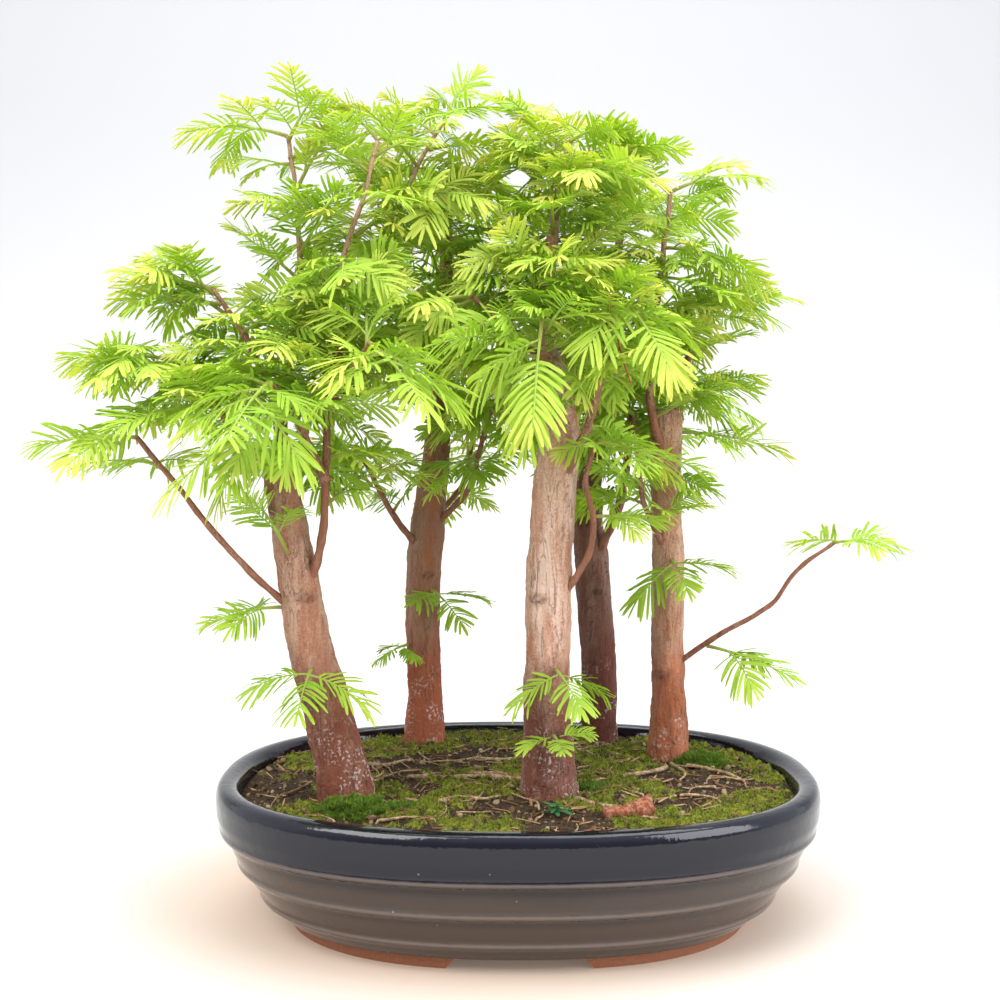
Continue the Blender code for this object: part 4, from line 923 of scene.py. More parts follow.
def make_crumbs(settings, look):
    """Loose crumbs of humus, grit and bark."""
    chance = random.Random(SEED + 1)
    shape = bmesh.new()
    bmesh.ops.create_icosphere(shape, subdivisions=1, radius=0.5)
    for vert in shape.verts:
        vert.co *= 1 + 0.5 * noise.noise(vert.co * 5.0)
    template = mesh_of(shape, outward=False)
    spots, tints = [], []
    for _ in range(settings.crumbs):
        x, y = on_soil(chance, 0.985)
        if moss_share(x, y) > chance.uniform(0.3, 1.3):
            continue
        size = 0.7 + 2.2 * chance.random() ** 3
        lean = [chance.uniform(-1, 1) for _ in range(3)]
        spots.append(((x, y, ground_height(x, y) + size * 0.12), lean, chance.uniform(0, 360),
                      size, size * chance.uniform(0.5, 1.6)))
        tints.append(chance.random() ** 1.6)
    points = points_of(template)
    return strewn(template, placed_copies(points, spots), np.repeat(tints, len(points)), "soil_crumbs", look)


def make_litter(look):
    """Dry needles and slivers of bark that have dropped on the soil."""
    chance = random.Random(SEED + 2)
    shape = bmesh.new()
    loft(shape, [[(x, side * width, 0.1 * up) for side, up in ((1, 0), (0, 1), (-1, 0), (0, -1))]
                 for x, width in ((-0.5, 0.3), (-0.2, 0.5), (0.25, 0.45), (0.5, 0.15))])
    template = mesh_of(shape)
    points = points_of(template)
    copies, tints = [], []
    for _ in range(LITTER_PIECES):
        x, y = on_soil(chance)
        along = heading(chance.uniform(0, 360), chance.uniform(-12, 22))
        side = turned(side_of(along, 0), along, chance.uniform(-30, 30))
        length, width = chance.uniform(*LITTER_LENGTHS), chance.uniform(*LITTER_WIDTHS)
        copies.append(laid(points, (x, y, ground_height(x, y) + 0.7), length * along, width * side,
                           2.0 * np.cross(side, along)))
        tints.append(chance.random())
    return strewn(template, copies, np.repeat(tints, len(points)), "dry_litter", look)


def make_roots(look):
    """Bare roots and twigs that lie on the soil."""
    chance = random.Random(SEED + 3)
    shape = bmesh.new()
    routes = list(SURFACE_ROOTS)
    for _ in range(ROOTLETS):
        x, y = on_soil(chance, 0.9)
        turn, length = chance.uniform(0, 2 * math.pi), chance.uniform(*ROOTLET_LENGTHS)
        route = [(x, y)]
        for _ in range(3):
            turn += chance.uniform(-0.8, 0.8)
            x, y = x + length * math.cos(turn), y + length * math.sin(turn)
            if oval_radius(x, y, inner_half(SOIL_EDGE)) < 0.94:
                route.append((x, y))
        if len(route) > 2:
            routes.append((route, chance.uniform(*ROOTLET_RADII), 0.2))
    for route, thick, thin in routes:
        radii = np.linspace(thick, thin, len(route))
        places = smooth_path([(x, y, 0.0, radius) for (x, y), radius in zip(route, radii)], 1.6)
        phase = chance.uniform(0, 50)
        for index, place in enumerate(places):
            for axis in range(2):
                place[axis] += ROOT_WANDER * noise.noise(Vector((index * 0.21, phase, axis * 7.0)))
            place[2] = soil_height(place[0], place[1]) + place[3] * 0.4 + 1.0
            place[3] *= 1 + 0.35 * noise.noise(Vector((index * 0.5, phase, 3.0)))
        places[[0, -1], 2] -= ROOT_DIVE
        loft(shape, rings_along(places, 8))
    return finish_mesh(mesh_of(shape), "surface_roots", [look])


def make_root_stub(look, cut_look):
    """A thick cut root that lies at the front right."""
    points = [(x, y, soil_height(x, y) + radius * ROOT_STUB_RISE, radius) for x, y, radius in ROOT_STUB]
    path = smooth_path(points, 0.8)
    end = path[-1].copy()
    end[3] *= 0.86
    shape = bmesh.new()
    loft(shape, rings_along(path, 28))
    middle = Vector(path[len(path) // 2][:3])
    for vert in shape.verts:
        out = (vert.co - middle).normalized()
        vert.co += out * (1.6 * noise.noise(vert.co * 0.28) + 0.6 * noise.noise(vert.co * 1.1))
    for face in shape.faces:
        face.material_index = 1 if len(face.verts) > 4 and face.calc_center_median().x > 45 else 0
    return finish_mesh(mesh_of(shape), "cut_root", [look, cut_look])


def make_weed(look):
    """A small rosette of leaves in front of the middle trunk."""
    chance = random.Random(SEED + 4)
    x, y = WEED
    leaf = needle_template()
    points = points_of(leaf)
    copies = []
    for index in range(WEED_LEAVES):
        along = heading(index * GOLDEN_ANGLE, chance.uniform(12, 60))
        side = side_of(along, chance.uniform(-15, 15))
        length = chance.uniform(*WEED_LENGTHS)
        bend = points[:, 0:1] ** 2 * length * 0.35 * np.array((0, 0, -1.0))
        copies.append(laid(points, (x, y, soil_height(x, y) + 1.0 + index * 0.25), length * along, 0.85 * side,
                           0.4 * np.cross(side, along)) + bend)
    return strewn(leaf, copies, np.full(len(copies) * len(points), 0.1), "weed", look)


def make_twigs(look):
    """The thin dry twigs under the front tree's crown."""
    shape = bmesh.new()
    for twig in DRY_TWIGS:
        loft(shape, rings_along(smooth_path(twig, 1.2), 6))
    return finish_mesh(mesh_of(shape), "dry_twigs", [look])


# Wood

def walked(places):
    """How far along its route each place lies."""
    return np.concatenate([[0.0], np.cumsum(np.linalg.norm(np.diff(places[:, :3], axis=0), axis=1))])


def route_point(points, where):
    """The (x, y, z, radius) of a route at a share of its length or, where that is over 1, at a height."""
    places = np.array(points, float)
    stops = places[:, 2] if where > 1 else walked(places)
    at = where if where > 1 else where * stops[-1]
    return np.array([np.interp(at, stops, places[:, axis]) for axis in range(4)])


def wood_of(tree):
    """Every route of a tree by name, each a list of (x, y, z, radius)."""
    routes = {"trunk": TRUNKS[tree]}
    for name, parent, where, passes, thick, thin in LIMBS[tree]:
        start = route_point(routes[parent], where)
        thickness = np.linspace(thick, thin, len(passes) + 1)
        routes[name] = [(*start[:3], thick)]
        routes[name] += [(*point, radius) for point, radius in zip(passes, thickness[1:])]
    return routes


def grain(point, breadth, length):
    """Noise that is drawn out up a stem."""
    x, y, z = point
    return noise.noise(Vector((x / breadth, y / breadth, z / length)))


def trunk_burrs(path, chance):
    """The knots and burrs of a trunk, each with its place, its width and its height."""
    burrs = []
    for number in range(BURRS):
        if number < FRONT_KNOTS:
            spot = path[int(len(path) * (KNOT_SHARE + KNOT_STEP * number))]
            around = chance.uniform(-2.2, -1.2) + math.pi * number
        else:
            spot = path[chance.randrange(len(path) // 8, len(path))]
            around = chance.uniform(0, 2 * math.pi)
        rim = spot[:3] + spot[3] * np.array((math.cos(around), math.sin(around), 0.0))
        height = chance.uniform(*(KNOT_HEIGHTS if number < FRONT_KNOTS else BURR_HEIGHTS))
        burrs.append((rim, chance.uniform(*BURR_WIDTHS), height))
    return burrs


def trunk_rings(tree, routes, settings):
    """The rings of a trunk, with its root flare, burrs and bark, and how dark each point is with scars."""
    path = smooth_path(routes["trunk"], TRUNK_STEP)
    knots = [np.array(route[0][:3]) for name, route in routes.items() if name != "trunk"]
    burrs = trunk_burrs(path, random.Random(len(tree) * 13 + SEED))
    finished, scars = [], []
    for place, ring in zip(path, rings_along(path, settings.sides)):
        middle, radius = place[:3], place[3]
        above = max(middle[2] - SOIL_EDGE, 0.0)
        stout = min(radius / 6.0, 1.0)
        made = []
        for point in ring:
            out = (point - middle) / radius
            around = math.atan2(out[1], out[0])
            flare = ROOT_FLARE[0] * math.exp(-above / ROOT_FLARE[1])
            flare += ROOT_RIDGES[0] * math.exp(-above / ROOT_RIDGES[1]) * math.sin(ROOT_RIDGES[2] * around + len(tree))
            fine = grain(point, *FIBRES) + 0.6 * grain(point, 1.0, 1.0)
            collar = sum(COLLAR[0] * math.exp(-((point - spot) ** 2).sum() / COLLAR[1]) for spot in knots)
            lump = sum(height * math.exp(-((point - spot) ** 2).sum() / width ** 2)
                       for spot, width, height in burrs)
            stand = settings.relief / MM * (grain(point, *PLATES) + 0.55 * fine) * (1 + math.exp(-above / 16))
            swell = 1 + flare + 0.05 * grain(point, *SWELLS) + collar
            made.append(middle + out * (radius * swell + stout * (stand + lump)))
            ragged = 0.7 + 0.6 * grain(point, 1.0, 2 / 3)
            scars.append(ragged * sum(math.exp(-(np.linalg.norm((point - spot) * KNOT_SHAPE) / width - 0.7) ** 2 * 3)
                                      for spot, width, height in burrs if height > SCARRED_HEIGHT))
        finished.append(made)
    return finished, scars


def limb_rings(route):
    """The rings of a limb, which starts stout in its collar and wanders a little."""
    path = smooth_path(route, LIMB_STEP)
    path[:, 3] *= 0.8 * (1 + 0.9 * np.exp(-walked(path) / 4.0))
    for index, place in enumerate(path):
        place[3] *= 1 + 0.24 * noise.noise(Vector((index * 0.4, route[0][0], route[0][1])))
        for axis in range(2):
            place[axis] += 0.5 * noise.noise(Vector((index * 0.2, route[0][1], axis * 9.0)))
    return rings_along(path, LIMB_SIDES)


def make_tree(tree, routes, settings, looks):
    """The trunk and limbs of one tree. The sawn top of the right one shows its wood."""
    shape = bmesh.new()
    rings, scars = trunk_rings(tree, routes, settings)
    loft(shape, rings)
    limbs = [0.0] * len(scars)
    for name, route in routes.items():
        if name != "trunk":
            rings = limb_rings(route)
            loft(shape, rings)
            limbs += [min(i / 3, 1.0) for i in range(len(rings)) for _ in rings[0]]
    scars += [0.0] * (len(limbs) - len(scars))
    for face in shape.faces:
        if len(face.verts) > 20 and face.normal.z > 0.8 and face.calc_center_median().z > 150:
            face.material_index = 1
    mesh = mesh_of(shape)
    set_values(mesh, "limb", limbs)
    set_values(mesh, "scar", scars)
    return finish_mesh(mesh, f"bark_{tree}", looks)


# Foliage

def turned(direction, axis, degrees):
    """The direction turned about the axis."""
    angle = math.radians(degrees)
    return (direction * math.cos(angle) + np.cross(axis, direction) * math.sin(angle)
            + axis * np.dot(axis, direction) * (1 - math.cos(angle)))


def unit(vector):
    return vector / np.linalg.norm(vector)


def heading(azimuth, rise):
    around, up = math.radians(azimuth), math.radians(rise)
    return np.array([math.cos(around) * math.cos(up), math.sin(around) * math.cos(up), math.sin(up)])


def side_of(direction, roll):
    """The way across a flat frond that points in this direction, rolled about it."""
    return turned(unit(np.cross(direction, (0.0, 0.0, 1.0))), direction, roll)


class Blade:
    """A bent frame: a straight form along x is laid along a path that droops from its start."""

    def __init__(self, start, direction, side, length, droop):
        self.start, self.direction, self.side = start, direction, side
        self.length, self.droop = length, droop

    def lay(self, points):
        """Turns points (along, across, up) of the straight form into places on the bent one."""
        points = np.asarray(points, float)
        along = points[:, 0:1]
        fall = self.droop * along ** 2 / self.length
        path = self.start + along * self.direction - fall * (0.0, 0.0, 1.0)
        tangent = self.direction - 2 * self.droop * along / self.length * (0.0, 0.0, 1.0)
        tangent /= np.linalg.norm(tangent, axis=1, keepdims=True)
        normal = np.cross(self.side, tangent)
        normal /= np.linalg.norm(normal, axis=1, keepdims=True)
        return path + points[:, 1:2] * self.side + points[:, 2:3] * normal


def needle_stations(bare, size, pairs):
    """The middle of each pair of needles on a rib that is bare up to there, with its share of the frond."""
    pitch = NEEDLED_LENGTH * size / pairs
    return [(bare + pitch * (i + 0.5), i / (pairs - 1)) for i in range(pairs)]


def needle_tip(station, share, side, size):
    """Where the needle that grows at this station ends. Needles are shorter at the root and the tip."""
    angle = math.radians(NEEDLE_ANGLES[0] + share * (NEEDLE_ANGLES[1] - NEEDLE_ANGLES[0]))
    swell = math.sin(math.pi * (SWELL_FROM + share * SWELL_SPAN))
    reach = size * NEEDLE_LENGTH * (NEEDLE_SHORTEST + NEEDLE_SWELL * swell)
    return np.array((station + reach * math.cos(angle), side * reach * math.sin(angle), -NEEDLE_SAG * reach))


def frond_samples(bare, size, pairs):
    """Points along the rib and the needles of the straight frond, which the clearance rule reads."""
    end = bare + FROND_LENGTH * size
    points = [np.array((along, 0.0, 0.0)) for along in np.arange(bare + RIB_SAMPLE_START, end, RIB_SAMPLE)]
    for station, share in needle_stations(bare, size, pairs):
        for side in (-1, 1):
            root, tip = np.array((station, 0.0, 0.0)), needle_tip(station, share, side, size)
            points += [root + part * (tip - root) for part in NEEDLE_SAMPLES]
    return np.array(points)


def distance_to_wood(points, segments):
    """The least distance from any point to the surface of any piece of wood."""
    starts, spans, radii = segments
    ahead = points[:, None, :] - starts[None, :, :]
    share = (ahead * spans).sum(2) / (spans ** 2).sum(1)
    share = np.clip(share, 0.0, 1.0)
    apart = np.linalg.norm(ahead - share[:, :, None] * spans, axis=2) - radii
    return float(apart.min())


def wood_segments(forest):
    starts, spans, radii = [], [], []
    for routes in forest.values():
        for route in routes.values():
            for low, high in zip(route, route[1:]):
                starts.append(low[:3])
                spans.append(np.array(high[:3]) - np.array(low[:3]))
                radii.append(max(low[3], high[3]))
    return np.array(starts, float), np.array(spans, float), np.array(radii, float)


def spray_start(route, where, direction):
    """Where a shoot starts: its gap away from the skin of the wood that carries it."""
    stout = RIB_BOTTOM * SHOOT_THICKNESS
    place = route_point(route, where)
    low, high = (where - 2.0, where + 2.0) if where > 1 else (where - 0.05, where)
    ahead = route_point(route, high)[:3] - route_point(route, low)[:3]
    along = float(np.dot(unit(ahead), direction))
    across = math.sqrt(max(1 - along ** 2, 0.0))
    if where == 1 and along > 0.6:
        return place[:3] + direction * (GAP + stout * across) / along
    return place[:3] + direction * (place[3] + GAP + stout * abs(along)) / max(across, 0.5)


class Crown:
    """The wood and the fronds placed so far, from which each new frond keeps its distance."""

    def __init__(self, forest):
        self.segments = wood_segments(forest)
        self.taken = []

    def has_room(self, points, mine, lesser):
        """True if a frond's sample points keep clear. Lesser ones may lie closer, in the solids' box."""
        least = LESSER_CLEARANCE if lesser else CLEARANCE
        if lesser and not ((points > ROOM[0]).all() and (points < ROOM[1]).all()):
            return False
        if distance_to_wood(points, self.segments) < WOOD_CLEARANCE:
            return False
        for taken, apart in ((mine, min(OWN_CLEARANCE, least)), (self.taken, least)):
            if not taken:
                continue
            placed = np.concatenate(taken)
            near = placed[np.abs(placed - points.mean(axis=0)).max(axis=1) < FROND_LENGTH]
            if len(near) and np.linalg.norm(points[:, None] - near[None], axis=2).min() < apart:
                return False
        return True


def tilted(direction, turn, lift):
    """The direction turned about the vertical and lifted, both in degrees."""
    around = math.degrees(math.atan2(direction[1], direction[0])) + turn
    rise = math.degrees(math.asin(max(-1.0, min(1.0, float(direction[2]))))) + lift
    return heading(around, rise)


class Spray:
    """A spray in the making. It holds its fronds as (blade, bare length, size), and their sample points.

    Solid sprays follow the construction's own rule, with the same draws in the same order, so that
    each frond lies where its solid does. The first blade is the shoot with the frond at its end.
    """

    def __init__(self, crown, lesser=False):
        self.crown, self.lesser = crown, lesser
        self.placed, self.points = [], []

    def grow(self, start, direction, angle, roll, bare, size, droop, tries=TRIES):
        """Adds a frond at an angle to the direction, at the first try that has room."""
        sign = -1 if angle < 0 else 1
        pairs, gap = (SIDE_PAIRS, SIDE_START) if angle else (END_PAIRS, 0.0)
        for turn, lift, twist in tries:
            aim = tilted(direction, angle + sign * turn, lift)
            blade = Blade(start + aim * gap, aim, side_of(aim, roll + twist), bare + FROND_LENGTH * size, droop)
            points = blade.lay(frond_samples(bare, size, pairs))
            fits = self.crown.has_room(points, self.points, self.lesser)
            if fits:
                break
        if fits or not (self.lesser or angle):
            self.placed.append((blade, bare, size))
            self.points.append(points)

    def grow_pair(self, along, stagger, wide, spread, scale, sizes, shrink, roll, chance):
        """Adds a frond on either side of the shoot, this far along it."""
        shoot = self.placed[0][0]
        for sign in (-1, 1):
            angle = sign * (wide + chance.uniform(-spread, spread))
            size = scale * chance.uniform(*sizes) * shrink
            lean = roll * ROLL_SHARE + chance.uniform(-ROLL_CHANCE, ROLL_CHANCE)
            droop = FROND_DROOP * chance.uniform(*SIDE_DROOPS)
            root = shoot.lay([(along + sign * stagger, 0, 0)])[0]
            self.grow(root, shoot.direction, angle, lean, ROOT_LENGTH, size, droop)


def solid_spray(spray, route, crown, chance):
    """The fine form of one of the solid sprays."""
    _, where, azimuth, rise, length, pairs, roll, scale = spray
    made = Spray(crown)
    direction = heading(azimuth, rise)
    size = scale * chance.uniform(*SHOOT_SIZES)
    droop = FROND_DROOP * chance.uniform(*SHOOT_DROOPS)
    made.grow(spray_start(route, where, direction), direction, 0, roll, length, size, droop)
    first = min(FIRST_PAIR, length * FIRST_PAIR_SHARE)
    wide = TUFT_ANGLE if length < TUFT_LENGTH else PAIR_ANGLE
    for index in range(pairs):
        made.grow_pair(first + (length - first) * index / pairs, PAIR_STAGGER, wide, ANGLE_CHANCE, scale,
                       SIDE_SIZES, 1 - PAIR_SHRINK * index, roll, chance)
    return made


def lesser_spray(route, where, azimuth, length, crown, chance):
    """A lesser spray: a shoot at about this azimuth, with a pair of fronds each LESSER_PITCH or so."""
    made = Spray(crown, lesser=True)
    direction = heading(azimuth + chance.uniform(-LESSER_TURN, LESSER_TURN), chance.uniform(*LESSER_RISES))
    size = chance.uniform(*LESSER_SHOOT_SIZES)
    droop = FROND_DROOP * chance.uniform(*LESSER_DROOPS)
    roll = chance.uniform(-LESSER_ROLL, LESSER_ROLL)
    made.grow(spray_start(route, where, direction), direction, 0, roll, length, size, droop, LESSER_TRIES)
    pairs = max(round(length / LESSER_PITCH), 1) if made.placed else 0
    for index in range(pairs):
        made.grow_pair(length * (index + LESSER_FIRST) / pairs, length * LESSER_STAGGER / pairs, PAIR_ANGLE,
                       LESSER_ANGLE_CHANCE, 1.0, LESSER_SIDE_SIZES, 1.0, roll, chance)
    return made


def needle_template():
    """One flat needle along x, one unit long, one unit in half width and with a slight crease."""
    shape = bmesh.new()
    rings = [[(x, width, 0.25 * width), (x, 0.0, 0.45), (x, -width, 0.25 * width), (x, 0.0, -0.45)]
             for x, width in NEEDLE_RINGS]
    rings.append([(1.0, 0.0, 0.0)] * 4)
    loft(shape, rings, pointed=True)
    return mesh_of(shape, "needle")


class Fronds:
    """Lays out fronds of lax needles: no two are alike."""

    def __init__(self, settings):
        self.length, self.width = settings.length / MM, settings.width / MM
        self.chance = np.random.RandomState(SEED + 11)
        self.needle = needle_template()
        stops = np.linspace(-ROOT_LENGTH, NEEDLED_LENGTH * FROND_SHARE + 1.0, 9)
        path = np.array([(x, 0.0, 0.0, np.interp(x, [-ROOT_LENGTH, FROND_LENGTH], RIB_RADII)) for x in stops])
        shape = bmesh.new()
        loft(shape, rings_along(path, 5))
        self.rib = mesh_of(shape, outward=False)
        pairs = settings.pairs
        self.share = np.append(np.repeat(np.arange(pairs), 2) / (pairs - 1), 1.0)
        self.side = np.append(np.tile((-1.0, 1.0), pairs), 0.0)
        self.offset = np.append(np.full(2 * pairs, 0.5 / pairs), 0.0)

    def draw(self, low, high):
        """One number a needle."""
        return self.chance.uniform(low, high, len(self.share))

    def needles(self, size):
        """The needles of one frond along x, as an array of (needle, vertex, 3)."""
        length = NEEDLED_LENGTH * FROND_SHARE * size
        widest, narrowest = self.chance.uniform(*ROOT_ANGLES), self.chance.uniform(*TIP_ANGLES)
        vee = self.chance.uniform(*VEES)
        stagger, slip = PAIR_SLIPS
        root = length * (self.share * (1 - 2 * self.offset) + self.offset
                         + stagger * self.side + self.draw(-slip, slip) * (self.offset > 0))
        angle = np.radians(self.side * (widest + (narrowest - widest) * self.share)
                           + self.draw(-ANGLE_SLIP, ANGLE_SLIP))
        swell = np.where(self.side == 0, 0.2, np.sin(math.pi * (0.2 + self.share * 0.72)))
        reach = self.length * size * (0.46 + 0.54 * swell) * self.draw(*NEEDLE_REACHES)
        x, y, z = (points_of(self.needle)[None, :, axis] for axis in range(3))
        ahead, aside = np.cos(angle)[:, None], np.sin(angle)[:, None]
        out = x * reach[:, None]
        wide = y * (self.width / 2 * size ** 0.5 * self.draw(*NEEDLE_BREADTHS))[:, None]
        lean = self.draw(-NEEDLE_TWIST, NEEDLE_TWIST)[:, None]
        curl = x * out
        return np.stack([
            root[:, None] + out * ahead - wide * aside + curl * self.draw(*NEEDLE_CURLS)[:, None] * abs(aside),
            out * aside + wide * ahead,
            out * (vee * abs(aside) + self.draw(*NEEDLE_LIFTS)[:, None]) + wide * lean + 0.3 * z
            - curl * self.draw(*NEEDLE_FALLS)[:, None],
        ], axis=2)


def shoot_rings(blade, length):
    """The rings of a shoot from inside the wood to the foot of its end frond."""
    stops = np.linspace(SHOOT_ROOT, length, max(int(length / 3), 3) + 1)
    places = blade.lay([(x, 0.0, 0.0) for x in stops])
    return rings_along(np.column_stack([places, np.linspace(*SHOOT_RADII, len(stops))]), 7)


def make_spray(placed, fronds, name, look, chance):
    """One spray: its shoots and the fronds that they bear, in one mesh."""
    shape = bmesh.new()
    woody = []
    for blade, bare, _ in placed:
        if bare > ROOT_LENGTH:
            rings = shoot_rings(blade, bare)
            loft(shape, rings)
            woody += [SHOOT_STEM - 0.4 * i / len(rings) for i in range(len(rings)) for _ in rings[0]]
    rib = points_of(fronds.rib)
    ribs, needles, tints = [], [], []
    for blade, bare, size in placed:
        foot = (bare, 0.0, 0.0)
        ribs.append(blade.lay(rib * size + foot))
        straight = fronds.needles(size)
        laid = blade.lay((straight + foot).reshape(-1, 3)).reshape(straight.shape)
        needles.append(laid)
        height = (laid[:, :, 2].mean() - FRESH_FROM) / FRESH_SPAN
        fresh = chance.uniform(*FRESHNESS) + 0.3 * min(max(height, 0.0), 1.0)
        reach = np.clip(straight[:, :, 0] / (FROND_LENGTH * size), 0, 1).ravel()
        tints.append((np.full(len(rib), fresh), fresh + TIP_FRESHNESS * reach ** 2))
    shape.from_mesh(scattered(fronds.rib, np.array(ribs)))
    shape.from_mesh(scattered(fronds.needle, np.concatenate(needles)))
    mesh = mesh_of(shape)
    tints = np.concatenate([np.full(len(woody), 0.3), *(of_rib for of_rib, _ in tints),
                            *(of_needles for _, of_needles in tints)])
    stems = np.zeros(len(tints))
    stems[:len(woody) + len(ribs) * len(rib)] = RIB_STEM
    stems[:len(woody)] = woody
    set_values(mesh, "tint", tints)
    set_values(mesh, "stem", stems)
    return finish_mesh(mesh, name, [look], smooth=False)


# Materials

class Nodes:
    """Short ways to add nodes to a shader tree. A value is a socket, or a plain number or colour."""

    def __init__(self, tree):
        self.tree = tree

    def put(self, value, target):
        """Links a socket to the target, or sets the target to a plain value."""
        if isinstance(value, bpy.types.NodeSocket):
            self.tree.links.new(value, target)
        else:
            target.default_value = value

    def node(self, kind, inputs=None, **values):
        made = self.tree.nodes.new(kind)
        for name, value in values.items():
            setattr(made, name, value)
        for name, value in (inputs or {}).items():
            self.put(value, made.inputs[name])
        return made

    def math(self, operation, *values, clamp=False):
        return self.node("ShaderNodeMath", dict(enumerate(values)), operation=operation, use_clamp=clamp).outputs[0]

    def times(self, first, second):
        return self.math("MULTIPLY", first, second)

    def scaled(self, value, size, shift):
        """The value times the size, plus the shift."""
        return self.math("MULTIPLY_ADD", value, size, shift)

    def away(self, value, level):
        """How far the value is from the level."""
        return self.math("ABSOLUTE", self.math("SUBTRACT", value, level))

    def span(self, value, low, high):
        """0 where the value is low or less, and 1 where it is high or more."""
        inputs = {"Value": value, "From Min": low, "From Max": high, "To Min": 0.0, "To Max": 1.0}
        return self.node("ShaderNodeMapRange", inputs, interpolation_type="SMOOTHSTEP").outputs["Result"]

    def mix(self, share, first, second, cover=None):
        """A colour between two colours. The cover, where there is one, weakens the share."""
        if cover is not None:
            share = self.times(share, cover)
        made = self.node("ShaderNodeMix", data_type="RGBA")
        for index, value in ((0, share), (6, first), (7, second)):
            plain = index > 0 and not isinstance(value, bpy.types.NodeSocket)
            self.put((*value, 1.0) if plain else value, made.inputs[index])
        return made.outputs[2]

    def noise(self, scale, detail=3.0, roughness=0.55, place=None, distortion=0.0):
        inputs = {"Vector": self.place if place is None else place, "Scale": scale, "Detail": detail,
                  "Roughness": roughness, "Distortion": distortion}
        return self.node("ShaderNodeTexNoise", inputs).outputs["Fac"]


class Effect(Nodes):
    """A shader group that more than one material uses. It takes a place and some numbers."""

    def __init__(self, name, inputs, outputs):
        super().__init__(bpy.data.node_groups.new(name, "ShaderNodeTree"))
        face = self.tree.interface
        face.new_socket("Place", in_out="INPUT", socket_type="NodeSocketVector")
        for title, value in inputs.items():
            face.new_socket(title, in_out="INPUT", socket_type="NodeSocketFloat").default_value = value
        for title in outputs:
            face.new_socket(title, in_out="OUTPUT", socket_type="NodeSocketFloat")
        self.given = self.tree.nodes.new("NodeGroupInput").outputs
        self.results = self.tree.nodes.new("NodeGroupOutput").inputs
        self.place = self.given["Place"]


class Finish(Nodes):
    """A material on the Principled shader, patterned by Object coordinates."""

    def __init__(self, name, roughness=0.6, specular=0.5):
        self.material = bpy.data.materials.new(name)
        self.material.use_nodes = True
        super().__init__(self.material.node_tree)
        self.shader = self.tree.nodes["Principled BSDF"]
        self.shader.inputs["Roughness"].default_value = roughness
        self.shader.inputs["Specular IOR Level"].default_value = specular
        self.place = self.node("ShaderNodeTexCoord").outputs["Object"]
        self.height = self.node("ShaderNodeSeparateXYZ", {"Vector": self.place}).outputs["Z"]

    def attribute(self, name):
        return self.node("ShaderNodeAttribute", attribute_name=name).outputs["Fac"]

    def effect(self, name, **values):
        """The outputs of a shared group, which is built the first time that it is asked for."""
        makers = {"bark_fibres": fibre_effect, "specks": speck_effect}
        made = self.tree.nodes.new("ShaderNodeGroup")
        made.node_tree = bpy.data.node_groups.get(name) or makers[name]().tree
        for title, value in {"Place": self.place, **values}.items():
            self.put(value, made.inputs[title])
        return made.outputs

    def tinted(self, stops, scale, spread):
        """The colour at the piece's own tint, mottled, on a ramp through stops of (tint, colour)."""
        mottle = self.scaled(self.noise(scale), spread, -spread / 2)
        made = self.node("ShaderNodeValToRGB", {"Fac": self.math("ADD", self.attribute("tint"), mottle, clamp=True)})
        ramp = made.color_ramp.elements
        ramp[0].color, ramp[1].color = (*stops[0][1], 1.0), (*stops[-1][1], 1.0)
        for tint, colour in stops[1:-1]:
            ramp.new(tint).color = (*colour, 1.0)
        return made.outputs["Color"]

    def finish(self, colour, height=None, depth=0.0, roughness=None, glow=0.0):
        """Sets what the surface shows: colour, relief of a depth in metres, roughness, light from behind."""
        self.put(colour, self.shader.inputs["Base Color"])
        if roughness is not None:
            self.put(roughness, self.shader.inputs["Roughness"])
        if height is not None:
            relief = self.node("ShaderNodeBump", {"Height": height, "Distance": depth, "Strength": 1.0})
            self.put(relief.outputs["Normal"], self.shader.inputs["Normal"])
        if glow:
            through = self.node("ShaderNodeBsdfTranslucent", {"Color": self.mix(0.3, colour, SUNLIT_GREEN)})
            both = self.node("ShaderNodeMixShader", {0: glow, 1: self.shader.outputs[0], 2: through.outputs[0]})
            self.put(both.outputs[0], self.tree.nodes["Material Output"].inputs["Surface"])
        return self.material


def fibre_effect():
    """Bark: streaks up the stem, loose pale scurf, thin cracks, and a height."""
    made = Effect("bark_fibres", {"Scale": 300.0, "Stretch": 0.3}, ["Streak", "Scurf", "Crack", "Height"])
    parts = made.node("ShaderNodeSeparateXYZ", {"Vector": made.place}).outputs
    flat = made.times(parts["Z"], made.given["Stretch"])
    drawn = made.node("ShaderNodeCombineXYZ", {"X": parts["X"], "Y": parts["Y"], "Z": flat}).outputs["Vector"]
    scale = made.given["Scale"]
    streaks = made.noise(scale, 4.0, 0.6, drawn, 0.6)
    broad = made.noise(made.times(scale, 0.45), 4.0, 0.6, drawn)
    fine = made.noise(made.times(scale, 3.2), 3.0, 0.65)
    scurf = made.scaled(fine, 0.5, made.math("SUBTRACT", broad, 0.25))
    off = made.away(made.noise(made.times(scale, 0.75), 2.0, 0.5, drawn, 1.6), 0.5)
    crack = made.times(made.span(off, 0.022, 0.0), made.span(broad, 0.42, 0.6))
    height = made.math("ADD", made.scaled(fine, 0.5, streaks), broad)
    made.put(made.scaled(crack, -0.5, height), made.results["Height"])
    made.put(made.span(streaks, 0.42, 0.62), made.results["Streak"])
    made.put(made.span(scurf, 0.4, 0.66), made.results["Scurf"])
    made.put(crack, made.results["Crack"])
    return made


